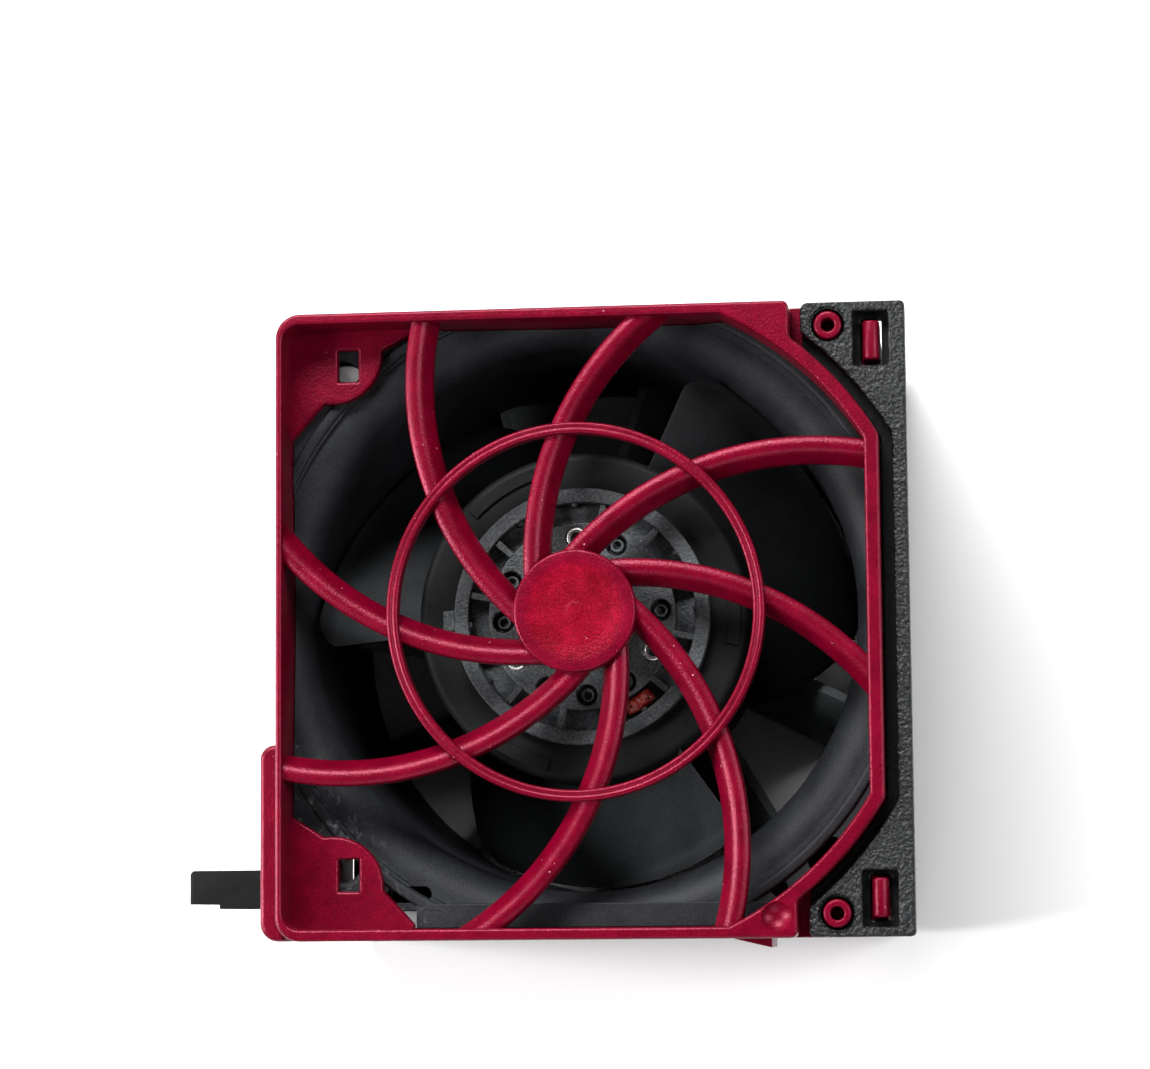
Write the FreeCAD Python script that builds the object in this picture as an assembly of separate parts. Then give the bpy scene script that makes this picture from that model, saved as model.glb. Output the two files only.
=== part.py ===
import FreeCAD, Part
import math
import os

# Hot-swap server fan module: a square axial fan clipped into a moulded carrier
# with a spiral finger guard, a pull cover, a release latch and a blind-mate plug.
# Millimetres. Origin: fan axis at the exhaust face. +Z: towards the intake and
# the guard, +X: towards the pull cover, +Y: away from the release latch.

V = FreeCAD.Vector
AXIS = V(0, 0, 1)
ORIGIN = V(0, 0, 0)

# ---- Driving dimensions -------------------------------------------------
# Axial fan
throat_r = 28.3
throat_margin = 1.7
fan_depth = 38.0
screw_inset = 5.0
screw_hole_r = 2.15
flange_thick = 3.6
flange_corner_r = 3.0
duct_wall = 1.3
bell_r = 3.8
bell_drop = 0.4
bell_rim = 0.4
lead_slot_x = -18.0
lead_slot_inset = 1.6
lead_slot_length = 4.6
lead_slot_width = 1.7
flange_pit_x = 20.0
flange_pit_inset = 1.9
flange_pit_r = 0.9
flange_pit_depth = 1.2

# Impeller hub
tip_clearance = 0.55
hub_r = 17.1
hub_wall = 1.9
hub_rear_gap = 1.0
hub_front_inset = 0.5
hub_face_inset = 0.3
hub_step = 1.2
hub_edge = 0.8
hub_web = 1.4
hub_ring_outer_r = 13.3
hub_ring_inner_r = 11.75
pocket_inner_r = 9.7
pocket_count = 12
pocket_start = 3.4
pocket_rib = 0.7
pocket_depth = 3.0
socket_circle_r = 8.15
socket_r = 1.1
socket_depth = 1.6
socket_bore_r = 0.7
land_outer_r = 16.4
land_inner_r = 15.1
land_span = 28.0
land_start = -11.5
land_proud = 0.25
key_angle = 181.0
key_width = 2.1
key_length = 1.9
notch_width = 3.2
notch_depth = 1.0
eyelet_count = 3
eyelet_start = 93.4
eyelet_r = 1.08
eyelet_bore_r = 0.55
eyelet_proud = 1.1
putty_gap_in = 0.25
putty_gap_out = 0.45
putty_thick = 2.4
putty_thin = 1.6
putty_span = 18.0
putty_short_span = 12.0
putty_pocket = 10

# Blades
blade_count = 3
blade_rear_gap = 1.4
blade_front_inset = 2.2
blade_thick = 1.4
blade_edge_share = 0.3
blade_camber = 0.10
blade_wrap_tip = 66.0
blade_wrap_gain = 2.6
blade_front_angle = 65.7
blade_root_sink = 0.8
blade_tip_round = 1.8
blade_front_sweep = 5.2
blade_rear_sweep = 2.9

# Motor mount and guide vanes
vane_count = 11
vane_start = 72.0
vane_height = 8.6
vane_thick = 0.9
vane_lean = 5.0
base_r = 15.5
base_thick = 2.0
base_lip_height = 3.2
base_lip_wall = 1.0
tube_seat_z = 1.0
tube_collar_wall = 1.3
tube_collar_height = 8.0
board_post_side = 2.0
board_post_inset = 3.2
board_post_height = 2.0
board_post_count = 3
board_post_start = 20.0

# Motor
shaft_r = 1.5
shaft_rear_z = 1.5
shaft_front_gap = 0.6
clip_groove = 0.3
clip_proud = 0.9
clip_thick = 0.4
clip_mouth = 1.4
bearing_outer_r = 4.0
bearing_width = 3.0
bearing_race = 0.6
ball_count = 7
ball_r = 0.6
rear_bearing_z = 3.0
spacer_length = 1.3
tube_wall = 1.0
tube_shoulder = 0.8
tube_proud = 0.5
cup_wall = 0.8
cup_boss_r = 3.0
cup_boss_length = 3.0
cup_rear_gap = 0.4
magnet_thick = 1.9
magnet_gap = 1.0
air_gap = 0.4
core_rear_gap = 3.2
core_front_step = 1.0
core_yoke = 1.7
core_arm_width = 2.6
core_shoe = 1.3
core_shoe_span = 48.0
insulator_thick = 0.8
slot_count = 6
coil_build = 0.9
coil_end_build = 1.4
coil_gap = 0.1
board_thick = 1.2
board_edge_gap = 0.3
chip_circle_r = 10.4
chip_length = 4.0
chip_width = 2.4
chip_height = 1.1

# Carrier
rim_height = 6.0
wall_left = 0.7
wall_top = 1.1
wall_bottom = 1.2
wall_right = 0.9
latch_room = 1.9
fan_clearance = 0.1
side_wall_rear = 3.0
carrier_corner_r = 2.5
plate_thick = 1.2
arc_band = 1.5
web_inset = 7.9
web_pit_r = 2.1
web_pit_depth = 0.8
lobe_r = 5.2
lobe_shift_x = 0.7
lobe_shift_y = 2.6
plate_lean = 11.5
plate_tail = 3.2
hook_window_width = 2.15
hook_window_length = 3.3
hook_window_shift = 1.2
barb_thick = 0.8
barb_proud = 0.6
finger_thick = 1.2
finger_width = 1.4
finger_gap = 0.15
ledge_half_gap = 17.0
rib_thick = 1.0
rib_left_x = -28.0
rib_right_x = 27.0
catch_proud = 0.8
catch_length = 2.5
catch_width = 4.0
catch_y = 18.0

# Guard
disc_r = 6.25
disc_thick = 2.4
disc_edge = 0.5
dish_r = 4.2
dish_slope = 0.8
dish_depth = 0.35
ring_outer_r = 19.3
ring_width = 1.2
ring_thick = 1.7
ring_edge = 0.3
spoke_count = 8
spoke_width = 2.7
spoke_height = 3.1
spoke_drop = 0.25
spoke_crest = 1.1
spoke_slope = 1.6
spoke_arc_r = 32.05
spoke_arc_x = 5.48
spoke_arc_y = -28.1
spoke_sweep_start = 15.0
spoke_sweep = 95.0
spoke_root_sink = 1.0

# Pull cover
cover_reach = 3.8
cover_wall = 1.5
cover_front_drop = 1.5
cover_arc_gap = 1.2
cover_post_wall = 0.61
cover_inset = 6.8
cover_rear = 2.0
cover_corner_r = 0.6
cover_edge_gap = 0.05
post_inset = 4.0
post_edge = 2.4
post_r = 1.43
post_bore_r = 0.68
post_bore_sink = 1.0
post_hole_gap = 0.27
post_sink_gap = 0.52
post_sink_depth = 0.5
post_proud = 0.1
window_reach = 0.35
window_edge = 3.85
window_width = 3.55
window_length = 5.6
tab_width = 1.7
tab_length = 4.0
tab_drop = 0.5
tab_edge = 0.35

# Release latch
latch_root_x = -6.0
latch_tip_inset = 6.0
latch_front_gap = 6.4
latch_width = 14.0
latch_gap = 0.3
hook_inset = 14.8
hook_length = 3.8
hook_proud = 1.0
hook_width = 9.0
hook_heel = 0.1
latch_slot_end = 3.0
latch_slot_width = 2.8
grip_count = 3
grip_pitch = 1.1
grip_width = 0.5
grip_depth = 0.25

# Blind-mate plug
plug_thick = 4.0
plug_width = 18.0
plug_reach = 8.9
plug_step = 0.5
plug_nose = 3.2
plug_edge = 0.35
plug_inset = 5.4
plug_front_gap = 10.0
boss_proud = 2.2
boss_length = 20.1
boss_corner_r = 1.5
boss_front_gap = 3.0
boss_rear_wall = 3.0
plug_seat_sink = 0.1
contact_count = 6
contact_pitch = 2.5
cell_width = 1.4
cell_depth = 7.0
contact_width = 0.8
contact_thick = 0.3
contact_drop = 0.5
contact_rise = 0.9
contact_inset = 0.8

# ---- Sizes that follow from them ---------------------------------------
half = throat_r + throat_margin
fan_side = 2 * half
screw_pitch = fan_side - 2 * screw_inset
far = 2 * fan_side

rim_front = fan_depth + rim_height
plate_z = fan_depth + plate_thick
inner_left = -(half + fan_clearance)
inner_top = half + fan_clearance
inner_bottom = -(half + latch_room)
inner_right = half + fan_clearance
outer_left = inner_left - wall_left
outer_top = inner_top + wall_top
outer_bottom = inner_bottom - wall_bottom
outer_right = inner_right + wall_right
mid_y = (outer_top + outer_bottom) / 2
half_height = (outer_top - outer_bottom) / 2
bar_inner_x = outer_right - arc_band
web_x = half - web_inset

cover_right = half + cover_reach
cover_front = rim_front - cover_front_drop
post_x = half - post_inset
post_y = half_height - post_edge
post_hole_r = post_r + post_hole_gap
cover_arc_r = math.hypot(post_x, post_y) - post_hole_r - cover_post_wall
arc_outer_r = cover_arc_r - cover_arc_gap
arc_inner_r = arc_outer_r - arc_band
window_x = half + window_reach
window_y = half_height - window_edge

tip_r = throat_r - tip_clearance
hub_front = fan_depth - hub_front_inset
hub_face = hub_front - hub_face_inset
hub_shoulder = hub_front - hub_step
hub_rear = vane_height + hub_rear_gap
pocket_floor = hub_front - pocket_depth
cup_top = pocket_floor - hub_web
blade_rear = vane_height + blade_rear_gap
blade_front = fan_depth - blade_front_inset

cup_outer_r = hub_r - hub_wall
cup_inner_r = cup_outer_r - cup_wall
cup_rear = hub_rear + cup_rear_gap
magnet_inner_r = cup_inner_r - magnet_thick
core_r = magnet_inner_r - air_gap
spacer_top = cup_top - cup_boss_length
front_bearing_z = spacer_top - spacer_length - bearing_width
core_z0 = hub_rear + core_rear_gap
core_z1 = front_bearing_z + core_front_step
tube_outer_r = bearing_outer_r + tube_wall
tube_bore_r = bearing_outer_r - tube_shoulder
tube_top = front_bearing_z + bearing_width + tube_proud
inner_race_r = shaft_r + bearing_race
outer_race_r = bearing_outer_r - bearing_race
board_z = base_thick + board_post_height

latch_z1 = rim_front - latch_front_gap
latch_z0 = latch_z1 - latch_width
latch_mid_z = (latch_z0 + latch_z1) / 2
latch_tip_x = half - latch_tip_inset
hook_x = half - hook_inset
knuckle_r = wall_bottom / 2
latch_y = outer_bottom + knuckle_r

plug_y = outer_bottom + plug_inset
plug_y0 = plug_y - plug_thick / 2
plug_y1 = plug_y + plug_thick / 2
plug_z1 = rim_front - plug_front_gap
plug_z0 = plug_z1 - plug_width
plug_seat_x = outer_left + plug_seat_sink
boss_x = outer_left - boss_proud
boss_z0 = plug_z0 - boss_rear_wall
boss_z1 = rim_front - boss_front_gap
plug_tip_x = boss_x - plug_reach


# ---- Shape helpers ------------------------------------------------------
def block(x0, x1, y0, y1, z0, z1):
    return Part.makeBox(x1 - x0, y1 - y0, z1 - z0, V(x0, y0, z0))


def rod(r, z0, z1, x=0.0, y=0.0):
    return Part.makeCylinder(r, z1 - z0, V(x, y, z0), AXIS)


def tube(r_out, r_in, z0, z1, x=0.0, y=0.0):
    return rod(r_out, z0, z1, x, y).cut(rod(r_in, z0, z1, x, y))


def polar(r, degrees, z=0.0):
    angle = math.radians(degrees)
    return V(r * math.cos(angle), r * math.sin(angle), z)


def turned(shape, degrees):
    copy = shape.copy()
    copy.rotate(ORIGIN, AXIS, degrees)
    return copy


def around(shape, count, start=0.0):
    return [turned(shape, start + 360.0 * k / count) for k in range(count)]


def fuse_all(shapes):
    return shapes[0].multiFuse(shapes[1:]).removeSplitter()


def closed(points):
    """A closed polygon through the points."""
    return Part.makePolygon(points + points[:1])


def prism(wire, z0, z1):
    """The solid between two heights over a plan drawn at z = 0."""
    face = Part.Face(wire)
    face.translate(V(0, 0, z0))
    return face.extrude(V(0, 0, z1 - z0))


def rounded_rect(x0, x1, y0, y1, r):
    """Rectangle with four equal corner radii, as a wire at z = 0."""
    s = r * (1 - math.sqrt(0.5))
    edges = []
    stops = [
        (V(x1 - r, y0, 0), V(x1 - s, y0 + s, 0), V(x1, y0 + r, 0)),
        (V(x1, y1 - r, 0), V(x1 - s, y1 - s, 0), V(x1 - r, y1, 0)),
        (V(x0 + r, y1, 0), V(x0 + s, y1 - s, 0), V(x0, y1 - r, 0)),
        (V(x0, y0 + r, 0), V(x0 + s, y0 + s, 0), V(x0 + r, y0, 0)),
    ]
    for k, (start, middle, end) in enumerate(stops):
        edges.append(Part.Arc(start, middle, end).toShape())
        edges.append(Part.LineSegment(end, stops[(k + 1) % 4][0]).toShape())
    return Part.Wire(edges)


def revolved(profile):
    """Solid of revolution about the fan axis from (radius, z) points."""
    face = Part.Face(closed([V(r, 0, z) for r, z in profile]))
    return face.revolve(ORIGIN, AXIS, 360)


def ruled_solid(loops):
    """Solid skinned with ruled bands through loops of matching edges."""
    faces = []
    for near, far_loop in zip(loops, loops[1:]):
        for first, last in zip(near, far_loop):
            faces.append(Part.makeRuledSurface(first, last))
    for loop in (loops[0], loops[-1]):
        faces.append(Part.makeRuledSurface(loop[0], loop[1]))
    shell = Part.makeShell(faces)
    shell.sewShape()
    solid = Part.makeSolid(Part.Shell(shell.Faces))
    if solid.Volume < 0:
        solid.reverse()
    return solid


def save(name, shape):
    solids = shape.Solids
    result = solids[0] if len(solids) == 1 else Part.makeCompound(solids)
    result.exportStep("parts/%s.step" % name)


# ---- Fan housing: square flanges, round duct and bell mouth -------------
def fan_housing():
    section = rounded_rect(-half, half, -half, half, flange_corner_r)
    rear = prism(section, 0, flange_thick)
    front = prism(section, fan_depth - flange_thick, fan_depth)
    duct = rod(throat_r + duct_wall, flange_thick, fan_depth - flange_thick)
    bell_z = fan_depth - bell_drop - bell_r
    bell_x = throat_r + bell_r
    rim_x = bell_x + bell_rim
    s = bell_r * math.sqrt(0.5)
    flare = V(bell_x - s, 0, bell_z + s)
    lip = [flare, V(bell_x, 0, bell_z + bell_r), V(rim_x, 0, bell_z + bell_r),
           V(rim_x, 0, fan_depth), V(0, 0, fan_depth), V(0, 0, 0), V(throat_r, 0, 0),
           V(throat_r, 0, bell_z)]
    middle = V(bell_x - bell_r * math.cos(math.pi / 8), 0, bell_z + bell_r * math.sin(math.pi / 8))
    curve = Part.Arc(lip[-1], middle, flare).toShape()
    sides = [Part.LineSegment(a, b).toShape() for a, b in zip(lip, lip[1:])]
    bore = Part.Face(Part.Wire(sides + [curve])).revolve(ORIGIN, AXIS, 360)
    corner = screw_pitch / 2
    hole = rod(screw_hole_r, 0, fan_depth, corner, corner)
    slot_y = lead_slot_inset - half
    slot_x = lead_slot_length / 2
    slot = prism(rounded_rect(lead_slot_x - slot_x, lead_slot_x + slot_x,
                              slot_y - lead_slot_width / 2, slot_y + lead_slot_width / 2,
                              0.49 * lead_slot_width), fan_depth - flange_thick, fan_depth)
    pit = rod(flange_pit_r, fan_depth - flange_pit_depth, fan_depth, flange_pit_x,
              flange_pit_inset - half)
    return fuse_all([rear, front, duct]).cut([bore, slot, pit] + around(hole, 4))


# ---- Motor mount: base cup, collar and leaning guide vanes --------------
def vane():
    """One guide vane: a bowed section drawn side on and run out to the duct."""
    bow = 0.45 * vane_height
    sides = []
    for edge in (-vane_thick / 2, vane_thick / 2):
        foot = V(0, edge, 0)
        knee = V(0, edge + 0.2 * vane_lean, bow)
        top = V(0, edge + vane_lean, vane_height)
        sides.append((foot, Part.Arc(foot, knee, top).toShape(), top))
    (foot0, curve0, top0), (foot1, curve1, top1) = sides
    wire = Part.Wire([curve0, Part.LineSegment(top0, top1).toShape(), curve1,
                      Part.LineSegment(foot1, foot0).toShape()])
    blank = Part.Face(wire).extrude(V(throat_r, 0, 0))
    return blank.common(tube(throat_r, base_r - base_lip_wall / 2, 0, vane_height))


def motor_mount():
    collar_r = tube_outer_r + tube_collar_wall
    lip_r = base_r - base_lip_wall
    lip_z = base_thick + base_lip_height
    base = revolved([
        (0, 0), (base_r, 0), (base_r, lip_z), (lip_r, lip_z), (lip_r, base_thick),
        (collar_r, base_thick), (collar_r, tube_collar_height),
        (tube_outer_r, tube_collar_height), (tube_outer_r, tube_seat_z), (0, tube_seat_z),
    ])
    seat_r = base_r - board_post_inset
    reach = board_post_side / 2
    post = block(seat_r - reach, seat_r + reach, -reach, reach, tube_seat_z, board_z)
    vanes = around(vane(), vane_count, vane_start)
    return fuse_all([base] + around(post, board_post_count, board_post_start) + vanes)


# ---- Impeller: pocketed hub and three wide swept blades -----------------
def blade_section(r, front_sweep, rear_sweep):
    """Front skin and rear skin of the blade at one radius, as two splines."""
    steps = 8
    wrap = blade_wrap_tip + (tip_r - r) * blade_wrap_gain
    lead = blade_front_angle - front_sweep
    trail = blade_front_angle - wrap + rear_sweep
    rows = ([], [])
    for k in range(steps + 1):
        t = k / steps
        bulge = math.sin(math.pi * t)
        z = blade_front - (t + blade_camber * bulge) * (blade_front - blade_rear)
        swell = blade_edge_share + (1 - blade_edge_share) * math.sqrt(max(bulge, 0.0))
        for row, side in zip(rows, (0.5, -0.5)):
            row.append(polar(r, lead + t * (trail - lead), z + side * blade_thick * swell))
    edges = []
    for row in rows:
        curve = Part.BSplineCurve()
        curve.interpolate(row)
        edges.append(curve.toShape())
    front = Part.LineSegment(rows[0][0], rows[1][0]).toShape()
    rear = Part.LineSegment(rows[0][-1], rows[1][-1]).toShape()
    return [edges[0], edges[1], front, rear]


def blade():
    stations = [
        (hub_r - blade_root_sink, 0, 0),
        (tip_r - blade_tip_round, 0, 0),
        (tip_r, blade_front_sweep, blade_rear_sweep),
    ]
    return ruled_solid([blade_section(*station) for station in stations])


def hub():
    shell = revolved([
        (cup_outer_r, hub_rear), (hub_r, hub_rear), (hub_r, hub_shoulder - hub_edge),
        (hub_r - hub_edge, hub_shoulder), (hub_ring_outer_r, hub_shoulder),
        (hub_ring_outer_r, hub_front), (hub_ring_inner_r, hub_front),
        (hub_ring_inner_r, pocket_floor), (pocket_inner_r, pocket_floor),
        (pocket_inner_r, hub_face), (shaft_r, hub_face), (shaft_r, cup_top),
        (cup_outer_r, cup_top),
    ])
    half_rib = pocket_rib / 2
    rib = block(pocket_inner_r - half_rib, hub_ring_inner_r + half_rib, -half_rib, half_rib,
                pocket_floor, hub_face)
    ribs = around(rib, pocket_count, pocket_start + 180.0 / pocket_count)
    land = Part.makeCylinder(land_outer_r, land_proud, V(0, 0, hub_shoulder), AXIS, land_span)
    land = turned(land, land_start).cut(rod(land_inner_r, hub_shoulder, hub_front))
    half_key = key_width / 2
    key = block(hub_ring_inner_r + pocket_rib, hub_ring_inner_r + pocket_rib + key_length,
                -half_key, half_key, hub_shoulder, hub_front - notch_depth / 2)
    notch = block(hub_ring_inner_r + pocket_rib, hub_ring_outer_r, -notch_width / 2,
                  notch_width / 2, hub_front - notch_depth, hub_front)
    socket = rod(socket_r, hub_front - socket_depth, hub_front, socket_circle_r, 0)
    bore = rod(socket_bore_r, cup_top, hub_front, socket_circle_r, 0)
    sockets = around(socket, eyelet_count, eyelet_start)
    bores = around(bore, eyelet_count, eyelet_start)
    body = fuse_all([shell] + ribs + around(land, blade_count))
    return body.cut([turned(notch, key_angle)] + sockets + bores).fuse(turned(key, key_angle))


def impeller():
    return fuse_all([hub()] + around(blade(), blade_count))


# ---- Rotor pieces behind the hub ----------------------------------------
def rotor_cup():
    roof = cup_top - cup_wall
    boss_z = cup_top - cup_boss_length
    return revolved([
        (cup_outer_r, cup_rear), (cup_outer_r, cup_top), (shaft_r, cup_top),
        (shaft_r, boss_z), (cup_boss_r, boss_z), (cup_boss_r, roof),
        (cup_inner_r, roof), (cup_inner_r, cup_rear),
    ])


def magnet_ring():
    return tube(cup_inner_r, magnet_inner_r, hub_rear + magnet_gap,
                cup_top - cup_wall - magnet_gap)


def shaft():
    body = rod(shaft_r, shaft_rear_z, hub_face - shaft_front_gap)
    top = rear_bearing_z - clip_groove / 2
    groove = tube(shaft_r + clip_proud, shaft_r - clip_groove, top - clip_thick, top)
    return body.cut(groove)


def retaining_clip():
    top = rear_bearing_z - clip_groove / 2
    washer = tube(shaft_r + clip_proud, shaft_r - clip_groove, top - clip_thick, top)
    mouth = block(0, shaft_r + clip_proud, -clip_mouth / 2, clip_mouth / 2, 0, top)
    return washer.cut(mouth)


def outer_ring(z):
    return tube(bearing_outer_r, outer_race_r, z, z + bearing_width)


def inner_ring(z):
    return tube(inner_race_r, shaft_r, z, z + bearing_width)


def ball(x, z):
    """A bearing ball with flat facets: six sectors between two poles."""
    sectors = 6
    lift = math.radians(30)
    rings = []
    for side in (-1, 1):
        row = [polar(ball_r * math.cos(lift), 360.0 * k / sectors) for k in range(sectors)]
        rings.append([p + V(x, 0, z + side * ball_r * math.sin(lift)) for p in row])
    poles = [V(x, 0, z - ball_r), V(x, 0, z + ball_r)]
    faces = []
    for k in range(sectors):
        n = (k + 1) % sectors
        for pole, ring in zip(poles, rings):
            faces.append([pole, ring[k], ring[n]])
        faces.append([rings[0][k], rings[0][n], rings[1][n], rings[1][k]])
    shell = Part.makeShell([Part.Face(closed(corners)) for corners in faces])
    return Part.makeSolid(shell)


def balls(z):
    one = ball((inner_race_r + outer_race_r) / 2, z + bearing_width / 2)
    return Part.makeCompound(around(one, ball_count))


def preload_spacer():
    return tube(inner_race_r, shaft_r, front_bearing_z + bearing_width, spacer_top)


def hub_eyelets():
    seat = hub_front - socket_depth
    one = tube(eyelet_r, eyelet_bore_r, seat, seat + eyelet_proud, socket_circle_r, 0)
    return Part.makeCompound(around(one, eyelet_count, eyelet_start))


def putty(pocket, span, height):
    """Balance putty pressed into one pocket of the hub."""
    inner = pocket_inner_r + putty_gap_in
    outer = hub_ring_inner_r - putty_gap_out
    angle = pocket_start + 360.0 * pocket / pocket_count
    lump = Part.makeCylinder(outer, height, V(0, 0, pocket_floor), AXIS, span)
    return turned(lump.cut(rod(inner, 0, fan_depth)), angle - span / 2)


def balance_putty():
    full = putty(putty_pocket, putty_span, putty_thick)
    short = putty(putty_pocket + 1, putty_short_span, putty_thin)
    return Part.makeCompound([full, short])


# ---- Stator pieces on the bearing tube ----------------------------------
def bearing_tube():
    rear_seat = rear_bearing_z + bearing_width
    return revolved([
        (tube_bore_r, tube_seat_z), (tube_outer_r, tube_seat_z), (tube_outer_r, tube_top),
        (bearing_outer_r, tube_top), (bearing_outer_r, front_bearing_z),
        (tube_bore_r, front_bearing_z), (tube_bore_r, rear_seat),
        (bearing_outer_r, rear_seat), (bearing_outer_r, rear_bearing_z),
        (tube_bore_r, rear_bearing_z),
    ])


def spider(z0, z1):
    """Yoke ring with one straight arm for each coil."""
    yoke = tube(tube_outer_r + core_yoke, tube_outer_r, z0, z1)
    arm = block(tube_outer_r + core_yoke / 2, core_r - core_shoe / 2, -core_arm_width / 2,
                core_arm_width / 2, z0, z1)
    return [yoke] + around(arm, slot_count)


def stator_core():
    shoe = Part.makeCylinder(core_r, core_z1 - core_z0, V(0, 0, core_z0), AXIS, core_shoe_span)
    shoe = turned(shoe, -core_shoe_span / 2).cut(rod(core_r - core_shoe, core_z0, core_z1))
    return fuse_all(spider(core_z0, core_z1) + around(shoe, slot_count))


def stator_insulators():
    lower = fuse_all(spider(core_z0 - insulator_thick, core_z0))
    upper = fuse_all(spider(core_z1, core_z1 + insulator_thick))
    return Part.makeCompound([lower, upper])


def stator_windings():
    side = core_arm_width / 2
    inner = tube_outer_r + core_yoke + coil_gap
    shoe_r = core_r - core_shoe
    outer = math.sqrt(shoe_r ** 2 - (side + coil_build) ** 2) - coil_gap
    low = core_z0 - insulator_thick
    high = core_z1 + insulator_thick
    coil = block(inner, outer, -side - coil_build, side + coil_build,
                 low - coil_end_build, high + coil_end_build)
    ends = [e for e in coil.Edges if abs(e.BoundBox.XLength - (outer - inner)) < coil_gap]
    coil = coil.makeChamfer(coil_build / 2, ends)
    coil = coil.cut(block(inner, outer, -side, side, low, high))
    return Part.makeCompound(around(coil, slot_count))


def circuit_board():
    return tube(base_r - base_lip_wall - board_edge_gap,
                tube_outer_r + tube_collar_wall + board_edge_gap, board_z, board_z + board_thick)


def board_components():
    """Driver chip, Hall sensor, diode and choke on the front of the board."""
    z = board_z + board_thick
    places = [(0, 1.0, 1.0, 1.0), (110, 0.4, 1.0, 1.2), (205, 0.5, 0.6, 0.6), (290, 0.7, 1.2, 1.3)]
    chips = []
    for angle, long_share, wide_share, high_share in places:
        reach = chip_width * wide_share / 2
        width = chip_length * long_share / 2
        chip = block(chip_circle_r - reach, chip_circle_r + reach, -width, width,
                     z, z + chip_height * high_share)
        chips.append(turned(chip, angle))
    return Part.makeCompound(chips)


# ---- Carrier: rim, sleeve, corner plates, posts and plug boss ------------
def carrier_outline(x_end, grow):
    """Square plan of the sleeve: its hollow, or its outside when grow is 1."""
    x0 = inner_left - grow * wall_left
    y0 = inner_bottom - grow * wall_bottom
    y1 = inner_top + grow * wall_top
    return rounded_rect(x0, x_end, y0, y1, carrier_corner_r - (1 - grow) * wall_left)


def rim_body(radius, x_end, grow, z0, z1):
    """Square to the left, round the fan at the right-hand corners."""
    square = prism(carrier_outline(far, grow), z0, z1)
    round_part = rod(radius, z0, z1, 0, mid_y)
    left_part = block(-far, web_x if grow else 0, -far, far, z0, z1)
    right_limit = block(-far, x_end, -far, far, z0, z1)
    return round_part.fuse(left_part).common(right_limit).common(square)


def rim():
    outer = rim_body(arc_outer_r, outer_right, 1, fan_depth, rim_front)
    return outer.cut(rim_body(arc_inner_r, bar_inner_x, 0, fan_depth, rim_front))


def sleeve():
    outer = prism(carrier_outline(outer_right, 1), side_wall_rear, plate_z)
    return outer.cut(prism(carrier_outline(inner_right, 0), side_wall_rear, plate_z))


def corner_plate(side):
    """Lobed plate in a left corner, with the window over its snap hook."""
    x = -screw_pitch / 2 - lobe_shift_x
    y = side * (screw_pitch / 2 + lobe_shift_y)
    wall_y = inner_top if side > 0 else inner_bottom
    tail_x = x + lobe_r + plate_tail
    lobe = rod(lobe_r, fan_depth, plate_z, x, y)
    web = closed([
        V(inner_left, wall_y, 0),
        V(tail_x, wall_y, 0),
        V(tail_x, wall_y - 0.06 * lobe_r * side, 0),
        V(x + 0.87 * lobe_r, y + 0.05 * lobe_r * side, 0),
        V(x, y - 0.6 * lobe_r * side, 0),
        V(x - 0.1 * lobe_r, y - 0.93 * lobe_r * side, 0),
        V(inner_left, wall_y - plate_lean * side, 0),
    ])
    plate = lobe.fuse(prism(web, fan_depth, plate_z))
    plate = plate.common(prism(carrier_outline(inner_right, 0), fan_depth, plate_z))
    middle = y - hook_window_shift * side
    left = -screw_pitch / 2 - finger_gap
    window = block(left, left + hook_window_width, middle - hook_window_length / 2,
                   middle + hook_window_length / 2, fan_depth, plate_z)
    return plate.cut(window)


def snap_hook(side):
    """Finger through a fan screw hole, with a barb behind the front flange."""
    x0 = -screw_pitch / 2 - screw_hole_r + finger_gap
    y0 = side * screw_pitch / 2 - finger_width / 2
    y1 = y0 + finger_width
    barb_z1 = fan_depth - flange_thick - fan_clearance
    barb_z0 = barb_z1 - barb_thick
    finger = block(x0, x0 + finger_thick, y0, y1, barb_z0, fan_depth)
    return [finger, block(x0 - barb_proud, x0, y0, y1, barb_z0, barb_z1)]


def ledge():
    """Shelf in the right-hand corners that carries the pull cover."""
    plan = prism(carrier_outline(outer_right, 1), fan_depth, plate_z)
    gap_y = half_height - half + ledge_half_gap
    hollow = rod(arc_inner_r, fan_depth, plate_z, 0, mid_y)
    side = block(0, bar_inner_x, mid_y - gap_y, mid_y + gap_y, fan_depth, plate_z)
    left = block(-far, web_x - arc_band, -far, far, fan_depth, plate_z)
    return plan.cut([hollow, side, left])


def post(side):
    return rod(post_r, fan_depth, cover_front + post_proud, post_x, mid_y + side * post_y)


def post_bore(side):
    return rod(post_bore_r, plate_z - post_bore_sink, rim_front, post_x, mid_y + side * post_y)


def tab(side):
    """Blunt-nosed tab that stands in a window of the pull cover."""
    y = mid_y + side * (window_y - fan_clearance)
    width = tab_width / 2
    length = tab_length / 2
    shape = block(window_x - width, window_x + width, y - length, y + length, fan_depth,
                  cover_front - tab_drop)
    top = [e for e in shape.Edges if e.BoundBox.ZMin > plate_z]
    return shape.makeChamfer(tab_edge, top)


def catch(side, y):
    """Wedge on a side wall that keeps the rear flange from backing out."""
    wall = side * inner_right
    z0 = flange_thick + fan_clearance
    wedge = Part.Face(closed([V(wall, y, z0), V(wall - catch_proud * side, y, z0),
                              V(wall, y, z0 + catch_length)]))
    return wedge.extrude(V(0, catch_width, 0))


def latch_side_rib(x):
    """Rib that fills the room beside the latch and holds the fan in place."""
    return block(x, x + rib_thick, inner_bottom, -half - fan_clearance, side_wall_rear, plate_z)


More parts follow.
